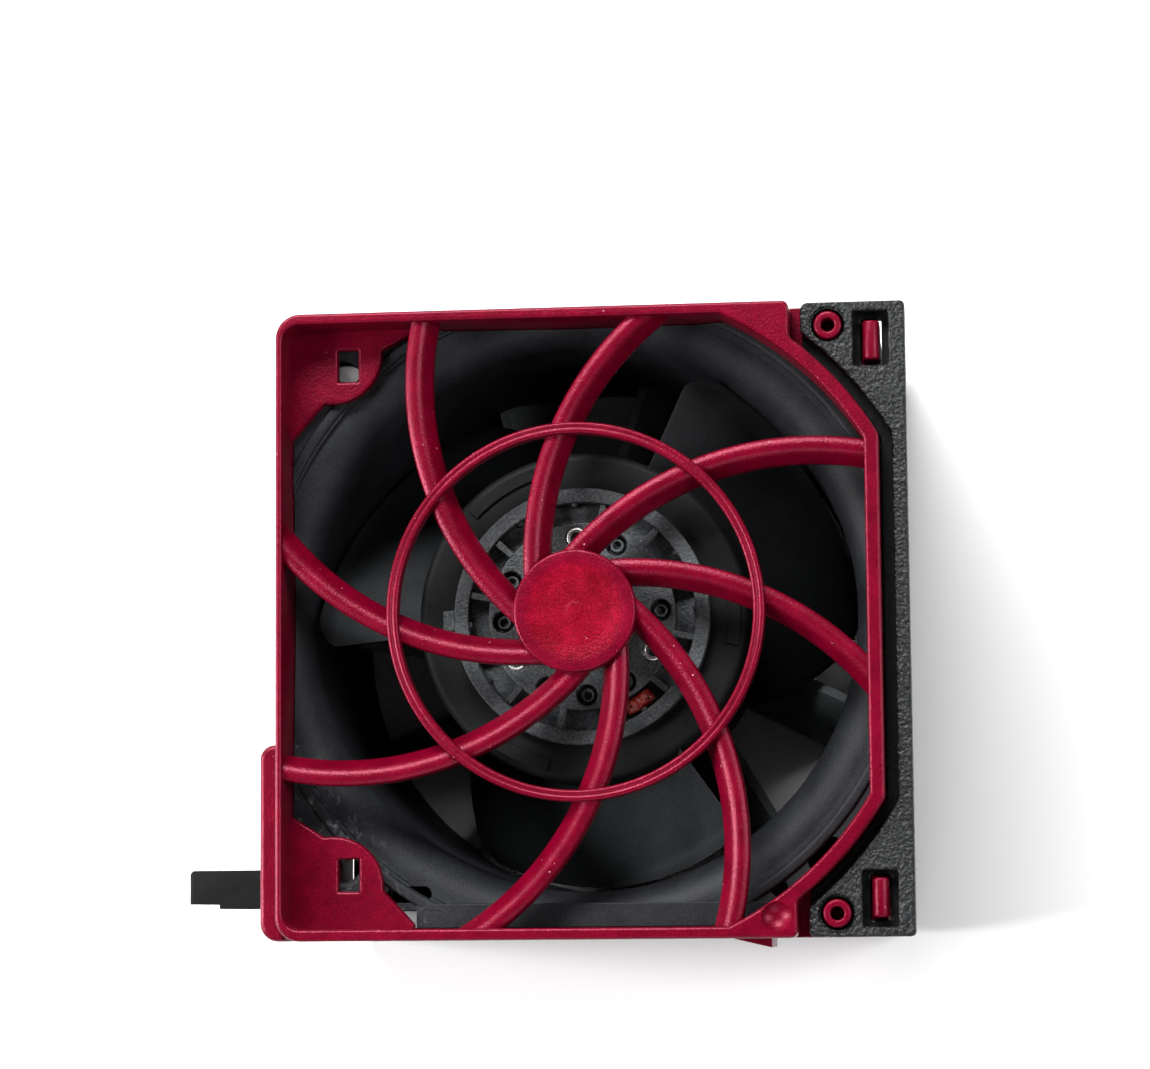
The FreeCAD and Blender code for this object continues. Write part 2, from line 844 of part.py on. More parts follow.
def plug_boss():
    """Boss round the lower left corner, with the pocket that holds the plug."""
    wall_x = outer_left + wall_left / 2
    boss = prism(rounded_rect(boss_x, half, outer_bottom, outer_bottom + boss_length,
                              boss_corner_r), boss_z0, boss_z1)
    return boss.common(block(boss_x, wall_x, outer_bottom, half, boss_z0, boss_z1))


def carrier_frame():
    parts = [rim(), sleeve(), ledge(), plug_boss()]
    bores = []
    for side in (1, -1):
        parts += [corner_plate(side), post(side), tab(side)] + snap_hook(side)
        bores.append(post_bore(side))
    parts += [catch(1, catch_y), catch(1, -catch_y - catch_width), catch(-1, catch_y)]
    parts += [latch_side_rib(rib_left_x), latch_side_rib(rib_right_x)]
    mouth = block(latch_root_x, latch_tip_x + 2 * latch_gap, outer_bottom, inner_bottom,
                  latch_z0 - latch_gap, latch_z1 + latch_gap)
    socket = rod(knuckle_r + latch_gap, latch_z0 - latch_gap, latch_z1 + latch_gap,
                 latch_root_x, latch_y)
    pocket = block(boss_x, plug_seat_x, plug_y0, plug_y1, plug_z0, plug_z1)
    pit = Part.makeSphere(web_pit_r, V(web_x - web_pit_r, outer_bottom + web_pit_r,
                                       rim_front + web_pit_r - web_pit_depth))
    return fuse_all(parts).cut(bores + [mouth, socket, pocket, pit])


# ---- Finger guard: dished disc, ring and eight curved spokes -------------
def spoke():
    """One spoke: a crested section turned about the centre of its arc."""
    top = rim_front - spoke_drop
    low = top - spoke_height
    inner = spoke_arc_x + spoke_arc_r - spoke_width / 2
    outer = inner + spoke_width
    section = [(inner, low), (outer, low), (outer, top - spoke_crest),
               (outer - 0.3 * spoke_crest, top - 0.3 * spoke_crest), (outer - spoke_crest, top),
               (inner, top - spoke_slope)]
    face = Part.Face(closed([V(x, spoke_arc_y, z) for x, z in section]))
    centre = V(spoke_arc_x, spoke_arc_y, 0)
    face.rotate(centre, AXIS, spoke_sweep_start)
    return face.revolve(centre, AXIS, spoke_sweep)


def finger_guard():
    top = rim_front
    low = top - disc_thick
    dish_z = top - dish_depth
    disc = revolved([
        (0, low), (disc_r - disc_edge, low), (disc_r, low + disc_edge), (disc_r, top - disc_edge),
        (disc_r - disc_edge, top), (dish_r, top), (dish_r - dish_slope, dish_z), (0, dish_z),
    ])
    inner_r = ring_outer_r - ring_width
    ring = revolved([
        (inner_r, top - ring_thick), (ring_outer_r, top - ring_thick),
        (ring_outer_r, top - ring_edge), (ring_outer_r - ring_edge, top),
        (inner_r + ring_edge, top), (inner_r, top - ring_edge),
    ])
    room = rim_body(arc_inner_r, bar_inner_x, 0, fan_depth, rim_front)
    near = block(-disc_r / 2, far, -far, far, fan_depth, rim_front)
    arm = spoke().common(near).cut(rod(disc_r - spoke_root_sink, fan_depth, rim_front))
    arms = [a.common(room) for a in around(arm, spoke_count)]
    return fuse_all([disc, ring] + arms)


# ---- Pull cover ----------------------------------------------------------
def handle_cover():
    """Bracket-shaped cover: two corner blocks joined by a tall side wall."""
    x0 = cover_right - cover_wall
    y0 = outer_bottom + cover_edge_gap
    y1 = outer_top - cover_edge_gap
    plan = prism(rounded_rect(half - cover_inset, cover_right, y0, y1, cover_corner_r),
                 plate_z, cover_front)
    sweep = math.sqrt(cover_arc_r ** 2 - x0 ** 2)
    wall = prism(rounded_rect(x0, cover_right, y0, y1, cover_corner_r), cover_rear, cover_front)
    cuts = [rod(cover_arc_r, plate_z, cover_front, 0, mid_y),
            block(0, x0, mid_y - sweep, mid_y + sweep, plate_z, cover_front)]
    for side in (1, -1):
        y = mid_y + side * post_y
        cuts.append(rod(post_hole_r, plate_z, cover_front, post_x, y))
        y = mid_y + side * window_y
        cuts.append(block(window_x - window_width / 2, window_x + window_width / 2,
                          y - window_length / 2, y + window_length / 2, plate_z, cover_front))
    cuts.append(rod(post_r + post_sink_gap, cover_front - post_sink_depth, cover_front,
                    post_x, mid_y - post_y))
    return plan.cut(cuts).fuse(wall).removeSplitter()


# ---- Release latch -------------------------------------------------------
def release_latch():
    arm = block(latch_root_x, latch_tip_x, outer_bottom, inner_bottom, latch_z0, latch_z1)
    knuckle = rod(knuckle_r, latch_z0, latch_z1, latch_root_x, latch_y)
    z0 = latch_mid_z - hook_width / 2
    inside = outer_bottom + hook_heel
    ramp = Part.Face(closed([
        V(hook_x, inside, z0), V(hook_x, outer_bottom - hook_heel, z0),
        V(hook_x + hook_length, outer_bottom - hook_proud, z0),
        V(hook_x + hook_length, inside, z0)]))
    hook = ramp.extrude(V(0, 0, hook_width))
    cuts = [block(latch_root_x + latch_slot_end, hook_x - latch_slot_end, outer_bottom,
                  inner_bottom, latch_mid_z - latch_slot_width / 2,
                  latch_mid_z + latch_slot_width / 2)]
    for k in range(grip_count):
        x = latch_tip_x - grip_pitch * (k + 1)
        cuts.append(block(x, x + grip_width, outer_bottom, outer_bottom + grip_depth,
                          latch_z0 + grip_pitch, latch_z1 - grip_pitch))
    return fuse_all([arm, knuckle, hook]).cut(cuts)


# ---- Blind-mate plug -----------------------------------------------------
def contact_z(k):
    middle = (plug_z0 + plug_z1) / 2
    return middle + (k - (contact_count - 1) / 2) * contact_pitch


def plug_housing():
    body = block(plug_tip_x, plug_seat_x, plug_y0, plug_y1, plug_z0, plug_z1)
    nose = [e for e in body.Edges if e.BoundBox.XMax < plug_tip_x + plug_edge]
    body = body.makeChamfer(plug_edge, nose)
    cuts = [block(plug_tip_x, plug_tip_x + plug_nose, plug_y0, plug_y0 + plug_step,
                  plug_z0, plug_z1)]
    for k in range(contact_count):
        z = contact_z(k)
        cuts.append(block(plug_tip_x, plug_tip_x + cell_depth, plug_y - contact_drop,
                          plug_y + contact_rise, z - cell_width / 2, z + cell_width / 2))
    return body.cut(cuts)


def plug_contacts():
    end = plug_tip_x + cell_depth
    low = plug_y - contact_drop
    blades = []
    for k in range(contact_count):
        z0 = contact_z(k) - contact_width / 2
        z1 = z0 + contact_width
        spring = block(plug_tip_x + contact_inset, end, low, low + contact_thick, z0, z1)
        tail = block(end - contact_thick, end, low, plug_y + contact_rise, z0, z1)
        blades.append(spring.fuse(tail).removeSplitter())
    return Part.makeCompound(blades)


# ---- Write every piece ---------------------------------------------------
os.makedirs("parts", exist_ok=True)
save("carrier_frame", carrier_frame())
save("finger_guard", finger_guard())
save("handle_cover", handle_cover())
save("release_latch", release_latch())
save("plug_housing", plug_housing())
save("plug_contacts", plug_contacts())
save("fan_housing", fan_housing())
save("motor_mount", motor_mount())
save("bearing_tube", bearing_tube())
save("rear_bearing_outer_ring", outer_ring(rear_bearing_z))
save("front_bearing_outer_ring", outer_ring(front_bearing_z))
save("rear_bearing_inner_ring", inner_ring(rear_bearing_z))
save("front_bearing_inner_ring", inner_ring(front_bearing_z))
save("rear_bearing_balls", balls(rear_bearing_z))
save("front_bearing_balls", balls(front_bearing_z))
save("preload_spacer", preload_spacer())
save("shaft", shaft())
save("retaining_clip", retaining_clip())
save("rotor_cup", rotor_cup())
save("magnet_ring", magnet_ring())
save("impeller", impeller())
save("hub_eyelets", hub_eyelets())
save("balance_putty", balance_putty())
save("stator_core", stator_core())
save("stator_insulators", stator_insulators())
save("stator_windings", stator_windings())
save("circuit_board", circuit_board())
save("board_components", board_components())
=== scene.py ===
import math

import bmesh
import bpy
from mathutils import Matrix, Vector
from mathutils.geometry import tessellate_polygon


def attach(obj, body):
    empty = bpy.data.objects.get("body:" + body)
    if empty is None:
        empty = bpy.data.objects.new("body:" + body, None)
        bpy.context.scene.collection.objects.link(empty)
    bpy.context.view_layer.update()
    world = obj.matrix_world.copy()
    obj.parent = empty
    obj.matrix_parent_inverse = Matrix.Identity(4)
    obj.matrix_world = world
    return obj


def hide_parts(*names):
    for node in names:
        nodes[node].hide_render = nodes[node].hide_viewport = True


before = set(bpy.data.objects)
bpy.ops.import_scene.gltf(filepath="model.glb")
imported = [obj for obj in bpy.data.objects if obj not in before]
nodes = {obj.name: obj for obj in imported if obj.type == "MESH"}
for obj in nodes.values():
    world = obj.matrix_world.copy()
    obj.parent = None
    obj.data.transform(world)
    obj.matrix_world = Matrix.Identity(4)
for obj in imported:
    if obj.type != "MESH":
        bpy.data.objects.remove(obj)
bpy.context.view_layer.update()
metre = 1.0
mm = 0.001


# ---- Studio: table, world, lamps and camera --------------------------------
# The module lies on its exhaust face on a pale matt table. Four softboxes slant
# in, the strong ones from the top and left, under a sky that is dim overhead.
def srgb(code):
    """A hex colour as the linear RGBA that the shaders take."""
    parts = [int(code[i:i + 2], 16) / 255 for i in (1, 3, 5)]
    linear = [c / 12.92 if c <= 0.04045 else ((c + 0.055) / 1.055) ** 2.4 for c in parts]
    return (*linear, 1.0)


def add(tree, kind, inputs=None, **settings):
    """Adds a node, sets its properties, and fills or links its inputs."""
    made = tree.nodes.new(kind)
    for key, value in settings.items():
        setattr(made, key, value)
    for key, value in (inputs or {}).items():
        if isinstance(value, bpy.types.NodeSocket):
            tree.links.new(value, made.inputs[key])
        else:
            made.inputs[key].default_value = value
    return made


def new_material(name):
    """An empty material, its node tree, and the place on the piece to read patterns at."""
    material = bpy.data.materials.new(name)
    material.use_nodes = True
    tree = material.node_tree
    tree.nodes.clear()
    return material, tree, add(tree, "ShaderNodeTexCoord").outputs["Object"]


def table_material():
    """White emulsion paint: fully matt, with broad, faint clouds."""
    cloud_width = 250 * mm
    material, tree, place = new_material("matt_white_table")
    cloud = add(tree, "ShaderNodeTexNoise", {
        "Vector": place, "Scale": 1 / cloud_width, "Detail": 2.0})
    tone = add(tree, "ShaderNodeMixRGB", {
        0: cloud.outputs["Fac"], 1: srgb("#F2F2F2"), 2: srgb("#F8F8F8")})
    matt = add(tree, "ShaderNodeBsdfDiffuse", {"Color": tone.outputs[0]})
    add(tree, "ShaderNodeOutputMaterial", {"Surface": matt.outputs[0]})
    return material


bpy.ops.mesh.primitive_plane_add(size=3.0, location=(0, 0, 0))
table = bpy.context.object
table.name = "table_top"
table.data.materials.append(table_material())

horizon_glow, overhead_glow = 0.28, 0.05
glow_foot, glow_head = 0.15, 0.75
world = bpy.data.worlds.new("studio")
world.use_nodes = True
bpy.context.scene.world = world
tree = world.node_tree
tree.nodes.clear()
look = add(tree, "ShaderNodeTexCoord").outputs["Generated"]
height = add(tree, "ShaderNodeSeparateXYZ", {"Vector": look}).outputs["Z"]
glow = add(tree, "ShaderNodeMapRange", {
    "Value": height, "From Min": glow_foot, "From Max": glow_head, "To Min": horizon_glow,
    "To Max": overhead_glow})
sky = add(tree, "ShaderNodeBackground", {"Color": srgb("#EEF1F6"), "Strength": glow.outputs[0]})
add(tree, "ShaderNodeOutputWorld", {"Surface": sky.outputs[0]})

lamp_aim = Vector((0, 0, 0.03))


def softbox(name, place, size, power):
    """A soft rectangular lamp, turned to the middle of the module."""
    light = bpy.data.lights.new(name, "AREA")
    light.shape = "RECTANGLE"
    light.size, light.size_y = size
    light.energy = power
    holder = bpy.data.objects.new(name, light)
    holder.location = place
    holder.rotation_euler = (lamp_aim - Vector(place)).to_track_quat("-Z", "Y").to_euler()
    bpy.context.collection.objects.link(holder)


softbox("key_softbox", place=(-0.14, 0.40, 0.44), size=(0.40, 0.20), power=6.2)
softbox("left_softbox", place=(-0.52, -0.04, 0.33), size=(0.16, 0.40), power=5.4)
softbox("front_softbox", place=(0.06, -0.48, 0.46), size=(0.40, 0.20), power=0.9)
softbox("right_softbox", place=(0.48, 0.06, 0.46), size=(0.20, 0.36), power=2.1)

camera_place = Vector((0.040813, -0.031062, 0.394))
camera_turn = Vector((0.109, 0.116, -0.015))
camera_data = bpy.data.cameras.new("camera")
camera_data.sensor_width = 36.0
camera_data.lens = 109.42435
camera_data.clip_start = 0.01
camera = bpy.data.objects.new("camera", camera_data)
bpy.context.collection.objects.link(camera)
camera.matrix_world = (Matrix.Translation(camera_place)
                       @ Matrix.Rotation(camera_turn.length, 4, camera_turn.normalized()))
bpy.context.scene.camera = camera
bpy.context.scene.view_settings.view_transform = "Standard"


# ---- Carrier: rim, sleeve, corner plates, ledges, posts, tabs and plug boss --
# One crimson injection moulding in ABS that the fan snaps into. It is drawn from
# plans in millimetres, and its edges are all slightly rounded, as moulded. Joined
# forms lap a little, and cutters run clear of what they cut.
corner_facet = 12.0
lap, clear = 0.1, 1.0


def arc(x, y, radius, start, end, step=4.0):
    """Plan points along an arc, from one angle to another in degrees."""
    count = max(2, math.ceil(abs(end - start) / step))
    angles = [math.radians(start + (end - start) * k / count) for k in range(count + 1)]
    return [(x + radius * math.cos(a), y + radius * math.sin(a), 0.0) for a in angles]


def outline(corners):
    """A closed loop of plan points from corners (x, y, radius), each one rounded."""
    loop = []
    for k, (x, y, radius) in enumerate(corners):
        here = Vector((x, y))
        if radius == 0:
            loop.append(here)
            continue
        back = (Vector(corners[k - 1][:2]) - here).normalized()
        ahead = (Vector(corners[(k + 1) % len(corners)][:2]) - here).normalized()
        half_angle = back.angle(ahead) / 2
        reach = radius / math.tan(half_angle)
        centre = here + (back + ahead).normalized() * (radius / math.sin(half_angle))
        first = here + back * reach - centre
        sweep = first.angle_signed(here + ahead * reach - centre)
        count = max(2, math.ceil(abs(math.degrees(sweep)) / corner_facet))
        for step in range(count + 1):
            loop.append(centre + Matrix.Rotation(-sweep * step / count, 2) @ first)
    return loop


def circle(x, y, radius, count=48):
    return [Vector((x + radius * math.cos(2 * math.pi * k / count),
                    y + radius * math.sin(2 * math.pi * k / count))) for k in range(count)]


def rectangle(x0, x1, y0, y1, radius=0.0):
    return outline([(x0, y0, radius), (x1, y0, radius), (x1, y1, radius), (x0, y1, radius)])


def mirrored(loop, axis_y):
    """The loop on the other side of a level line, still anticlockwise."""
    return [Vector((p.x, 2 * axis_y - p.y)) for p in reversed(loop)]


def inset(loop, distance):
    """The loop moved to its left by a distance, with mitred corners."""
    moved = []
    for before, here, after in zip(loop[-1:] + loop[:-1], loop, loop[1:] + loop[:1]):
        back = (here - before).normalized()
        ahead = (after - here).normalized()
        side = Vector((-back.y - ahead.y, back.x + ahead.x))
        moved.append(here + side * (distance / (1 + back.dot(ahead))))
    return moved


def edge_levels(low, high, top, bottom):
    """Insets and heights up the side of a plate with rounded upper and lower edges."""
    steps, border = 4, 0.03
    arcs = [math.pi / 2 * k / steps for k in range(steps + 1)]
    levels = []
    if bottom:
        levels.append((bottom + border, low))
        levels += [(bottom * (1 - math.sin(a)), low + bottom * (1 - math.cos(a))) for a in arcs]
    else:
        levels += [(border, low), (0.0, low)]
    if top:
        levels += [(top * (1 - math.cos(a)), high - top * (1 - math.sin(a))) for a in arcs]
        levels.append((top + border, high))
    else:
        levels += [(0.0, high), (border, high)]
    return levels


def skinned(bm, rings):
    """Faces between closed rings of equally many vertices."""
    faces = []
    for lower, upper in zip(rings, rings[1:]):
        for k in range(len(lower)):
            n = (k + 1) % len(lower)
            faces.append(bm.faces.new((lower[k], lower[n], upper[n], upper[k])))
    return faces


def moulding(bm, outer, holes, low, high, top=0.2, bottom=0.2):
    """Adds a plate to bm: its outline and holes, with rounded upper and lower edges."""
    loops = [outer] + [list(reversed(hole)) for hole in holes]
    caps = ([], [])
    made = []
    for loop in loops:
        rings = []
        for shift, z in edge_levels(low, high, top, bottom):
            rings.append([bm.verts.new((p.x, p.y, z)) for p in inset(loop, shift)])
        made += skinned(bm, rings)
        caps[0].append(rings[0])
        caps[1].append(rings[-1])
    for cap in caps:
        verts = [vert for ring in cap for vert in ring]
        for triangle in tessellate_polygon([[vert.co for vert in ring] for ring in cap]):
            made.append(bm.faces.new([verts[index] for index in triangle]))
    bmesh.ops.recalc_face_normals(bm, faces=made)


def lathe(bm, profile, x=0.0, y=0.0, segments=96):
    """Adds a turned solid to bm from a closed loop of (radius, height) points."""
    rings = []
    for radius, z in profile:
        if radius < 1e-6:
            rings.append([bm.verts.new((x, y, z))])
            continue
        rings.append([bm.verts.new((x + radius * math.cos(2 * math.pi * k / segments),
                                    y + radius * math.sin(2 * math.pi * k / segments), z))
                      for k in range(segments)])
    made = []
    for near, far in zip(rings, rings[1:] + rings[:1]):
        for k in range(segments):
            n = (k + 1) % segments
            corners = [near[k % len(near)], near[n % len(near)], far[n % len(far)],
                       far[k % len(far)]]
            corners = list(dict.fromkeys(corners))
            if len(corners) > 2:
                made.append(bm.faces.new(corners))
    bmesh.ops.recalc_face_normals(bm, faces=made)


def as_object(bm, name, unit=mm):
    """The bmesh, drawn in millimetres or another unit, as an object in metres."""
    mesh = bpy.data.meshes.new(name)
    bm.to_mesh(mesh)
    bm.free()
    mesh.transform(Matrix.Scale(unit, 4))
    thing = bpy.data.objects.new(name, mesh)
    bpy.context.collection.objects.link(thing)
    return thing


def baked(thing):
    """Puts an object's modifiers into its mesh."""
    graph = bpy.context.evaluated_depsgraph_get()
    graph.update()
    mesh = bpy.data.meshes.new_from_object(thing.evaluated_get(graph))
    thing.modifiers.clear()
    thing.data = mesh
    return thing


def boolean(thing, cutter_bm, operation):
    """Cuts an object with a bmesh drawn in millimetres, or keeps what both share."""
    cutter = as_object(cutter_bm, "cutter")
    modifier = thing.modifiers.new("cut", "BOOLEAN")
    modifier.operation = operation
    modifier.solver = "EXACT"
    modifier.object = cutter
    baked(thing)
    bpy.data.objects.remove(cutter)
    return thing


def joined(things, name):
    """Several objects as one mesh."""
    bm = bmesh.new()
    for thing in things:
        bm.from_mesh(thing.data)
        bpy.data.objects.remove(thing)
    return as_object(bm, name, metre)


def finish(thing, body, material, node=None):
    """Shades a piece, gives it its material and body, and stands it in for its CAD node."""
    sharp = math.radians(38)
    thing.data.polygons.foreach_set("use_smooth", [True] * len(thing.data.polygons))
    thing.data.set_sharp_from_angle(angle=sharp)
    thing.data.materials.clear()
    thing.data.materials.append(material)
    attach(thing, body)
    if node:
        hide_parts(node)


def moulded_crimson(name, rubbed_r):
    """Crimson ABS, satin, off a spark-eroded tool: softly clouded, with a rosy sheen.

    Within rubbed_r of the fan axis it is polished deeper and redder by fingers. The
    grit is drawn coarser than the real 0.05 mm, so that it shows.
    """
    cloud_width, grit_width, nick_width = 2.381 * mm, 0.2381 * mm, 0.4348 * mm
    grit_depth = 0.05 * mm
    material, tree, place = new_material(name)
    cloud = add(tree, "ShaderNodeTexNoise", {
        "Vector": place, "Scale": 1 / cloud_width, "Detail": 6.0, "Roughness": 0.62})
    grit = add(tree, "ShaderNodeTexNoise", {
        "Vector": place, "Scale": 1 / grit_width, "Detail": 3.0})
    mottle = add(tree, "ShaderNodeMath", {
        0: cloud.outputs["Fac"], 1: grit.outputs["Fac"]}, operation="MULTIPLY")
    share = add(tree, "ShaderNodeMapRange", {
        "Value": mottle.outputs[0], "From Min": 0.12, "From Max": 0.40})
    plain, rubbed = [
        add(tree, "ShaderNodeMixRGB", {0: share.outputs[0], 1: srgb(dark), 2: srgb(light)})
        for dark, light in (("#500012", "#6E001E"), ("#540008", "#860420"))]
    level = add(tree, "ShaderNodeVectorMath", {0: place, 1: (1.0, 1.0, 0.0)}, operation="MULTIPLY")
    off_axis = add(tree, "ShaderNodeVectorMath", {0: level.outputs[0]}, operation="LENGTH")
    inside = add(tree, "ShaderNodeMapRange", {
        "Value": off_axis.outputs["Value"], "From Min": 0.8 * rubbed_r, "From Max": rubbed_r,
        "To Min": 1.0, "To Max": 0.0})
    tone = add(tree, "ShaderNodeMixRGB", {
        0: inside.outputs[0], 1: plain.outputs[0], 2: rubbed.outputs[0]})
    nick = add(tree, "ShaderNodeTexNoise", {
        "Vector": place, "Scale": 1 / nick_width, "Detail": 1.0})
    nicked = add(tree, "ShaderNodeMapRange", {
        "Value": nick.outputs["Fac"], "From Min": 0.79, "From Max": 0.81, "To Max": 0.5})
    tone = add(tree, "ShaderNodeMixRGB", {
        0: nicked.outputs[0], 1: tone.outputs[0], 2: srgb("#E3A9B2")})
    rough = add(tree, "ShaderNodeMapRange", {
        "Value": cloud.outputs["Fac"], "To Min": 0.26, "To Max": 0.36})
    bump = add(tree, "ShaderNodeBump", {
        "Height": grit.outputs["Fac"], "Strength": 0.9, "Distance": grit_depth})
    shader = add(tree, "ShaderNodeBsdfPrincipled", {
        "Base Color": tone.outputs[0], "Roughness": rough.outputs[0], "IOR": 1.5,
        "Specular Tint": srgb("#FF8FA8"), "Normal": bump.outputs[0]})
    add(tree, "ShaderNodeOutputMaterial", {"Surface": shader.outputs[0]})
    return material


never_rubbed = 0.001 * mm
crimson = moulded_crimson("moulded_crimson_abs", never_rubbed)

half = 30.0
fan_depth = 38.0
rim_front = 44.0
plate_z = 39.2
rear_edge = 3.0
inner_left, inner_right, inner_bottom, inner_top = -30.1, 30.1, -31.9, 30.1
outer_left, outer_right, outer_bottom, outer_top = -30.8, 31.0, -33.1, 31.2
mid_y = (outer_bottom + outer_top) / 2
corner_r = 2.5
hollow_r = 1.8
arc_inner_r, arc_outer_r = 34.5, 36.0
bar_inner_x = 29.5
web_x = 22.1
post_x, post_reach = 26.0, 29.75
tab_reach = 28.2


def band_arc(radius, near_x, far_x):
    """The lower right arc of the rim, from one x to a larger one."""
    start, end = (math.degrees(math.acos(x / radius)) for x in (near_x, far_x))
    return arc(0, mid_y, radius, -start, -end, 2.5)


def ends_rounded(points, first, last):
    """An arc's points, with a corner radius at each of its ends."""
    return [(*points[0][:2], first), *points[1:-1], (*points[-1][:2], last)]


def above(points):
    """An arc's points on the other side of the carrier's middle."""
    return [(x, 2 * mid_y - y, radius) for x, y, radius in points]


def rim_outside():
    shoulder_r, knee_r, web_r = 0.9, 1.2, 0.7
    lower = ends_rounded(band_arc(arc_outer_r, web_x, outer_right), shoulder_r, knee_r)
    return outline([(outer_left, outer_bottom, corner_r), (web_x, outer_bottom, web_r), *lower,
                    *above(reversed(lower)), (web_x, outer_top, web_r),
                    (outer_left, outer_top, corner_r)])


def rim_inside(grow=0.0):
    shoulder_r, knee_r = 0.6, 0.9
    left, right = inner_left - grow, bar_inner_x + grow
    bottom, top = inner_bottom - grow, inner_top + grow
    radius = arc_inner_r + grow
    lower = band_arc(radius, math.sqrt(radius ** 2 - (bottom - mid_y) ** 2), right)
    upper = band_arc(radius, math.sqrt(radius ** 2 - (top - mid_y) ** 2), right)
    return outline([(left, bottom, hollow_r), *ends_rounded(lower, shoulder_r, knee_r),
                    *above(reversed(ends_rounded(upper, shoulder_r, knee_r))),
                    (left, top, hollow_r)])


def rim():
    """The front band, flat on the right, with a round gate pit in its lower web."""
    pit_r, pit_rise = 1.9, 1.15
    pit_x, pit_y = web_x - 2.1, outer_bottom + 2.15
    bm = bmesh.new()
    moulding(bm, rim_outside(), [rim_inside()], fan_depth, rim_front, top=0.32, bottom=0)
    pit = bmesh.new()
    bmesh.ops.create_uvsphere(pit, u_segments=48, v_segments=32, radius=pit_r)
    bmesh.ops.translate(pit, verts=pit.verts, vec=(pit_x, pit_y, rim_front + pit_rise))
    return boolean(as_object(bm, "rim"), pit, "DIFFERENCE")


def sleeve():
    """The four walls round the fan, with the mouth that the latch is cut free in."""
    mouth_left, mouth_right, mouth_low, mouth_high = -6.3, 24.6, 23.3, 37.9
    outside = rectangle(outer_left, outer_right, outer_bottom, outer_top, corner_r)
    hollow = rectangle(inner_left, inner_right, inner_bottom, inner_top, hollow_r)
    bm = bmesh.new()
    moulding(bm, outside, [hollow], rear_edge, fan_depth, top=0, bottom=0.3)
    mouth = bmesh.new()
    moulding(mouth, rectangle(mouth_left, mouth_right, outer_bottom - clear, inner_bottom + 0.2),
             [], mouth_low, mouth_high, top=0, bottom=0)
    return boolean(as_object(bm, "sleeve"), mouth, "DIFFERENCE")


def corner_plate(side):
    """Lobed plate over a left-hand corner of the fan, with the window of its snap hook."""
    lobe_x, lobe_y, lobe_r = -25.7, 27.6, 5.2
    window_left, window_right, window_y, window_half = -25.15, -23.0, 26.4, 1.65
    tail_x, sunk = -17.3, 0.3
    wall = inner_top if side > 0 else -inner_bottom
    lean, tail_y = wall - 11.5, wall - 0.45
    lobe = ends_rounded(arc(lobe_x, lobe_y, lobe_r, -100, 4, 8), 0.5, 0.3)
    loop = outline([(inner_left - sunk, lean - sunk, 0), *lobe, (tail_x, tail_y, 0.25),
                    (tail_x, wall + sunk, 0), (inner_left - sunk, wall + sunk, 0)])
    window = rectangle(window_left, window_right, window_y - window_half,
                       window_y + window_half, 0.12)
    if side < 0:
        loop, window = mirrored(loop, 0.0), mirrored(window, 0.0)
    bm = bmesh.new()
    moulding(bm, loop, [window], fan_depth, plate_z, top=0.3, bottom=0.1)
    return as_object(bm, "corner_plate")


def ledge(side):
    """Shelf in a right-hand corner that carries the pull cover."""
    near_x, far_x = web_x - 1.5, outer_right - 0.02
    bottom, foot_y = outer_bottom + 0.02, mid_y - 17
    inside = band_arc(arc_inner_r, near_x, bar_inner_x)
    loop = outline([(near_x, bottom, 0), (far_x, bottom, 0), (far_x, foot_y, 0),
                    *reversed(inside)])
    bm = bmesh.new()
    moulding(bm, loop if side < 0 else mirrored(loop, mid_y), [], fan_depth, plate_z, top=0.12)
    return as_object(bm, "ledge")


def posts():
    """Two hollow posts that the cover is pressed over, each closed by a floor."""
    bore_r, post_r, post_top = 0.68, 1.43, 42.6
    floor_r, floor_low, floor_high = 0.8, plate_z - 0.9, plate_z - 0.5
    tube = outline([(bore_r, plate_z - 1, 0), (post_r, plate_z - 1, 0), (post_r, post_top, 0.3),
                    (bore_r, post_top, 0.22)])
    floor = [(0, floor_low), (floor_r, floor_low), (floor_r, floor_high), (0, floor_high)]
    bm = bmesh.new()
    for side in (1, -1):
        lathe(bm, tube, post_x, mid_y + side * post_reach, 48)
        lathe(bm, floor, post_x, mid_y + side * post_reach, 32)
    return as_object(bm, "posts")


def tab(side):
    """Round-backed tab that stands in a window of the pull cover."""
    left, right, back_r, tab_top, half_length = 29.5, 31.2, 0.78, 42.0, 2.0
    middle = mid_y + side * tab_reach
    section = outline([(left, -tab_top, back_r), (right, -tab_top, back_r),
                       (right, -fan_depth, 0), (left, -fan_depth, 0)])
    bm = bmesh.new()
    moulding(bm, section, [], middle - half_length, middle + half_length, top=0.25, bottom=0.25)
    lay = Matrix(((1, 0, 0), (0, 0, 1), (0, -1, 0)))
    bmesh.ops.transform(bm, verts=bm.verts, matrix=lay.to_4x4())
    return as_object(bm, "tab")


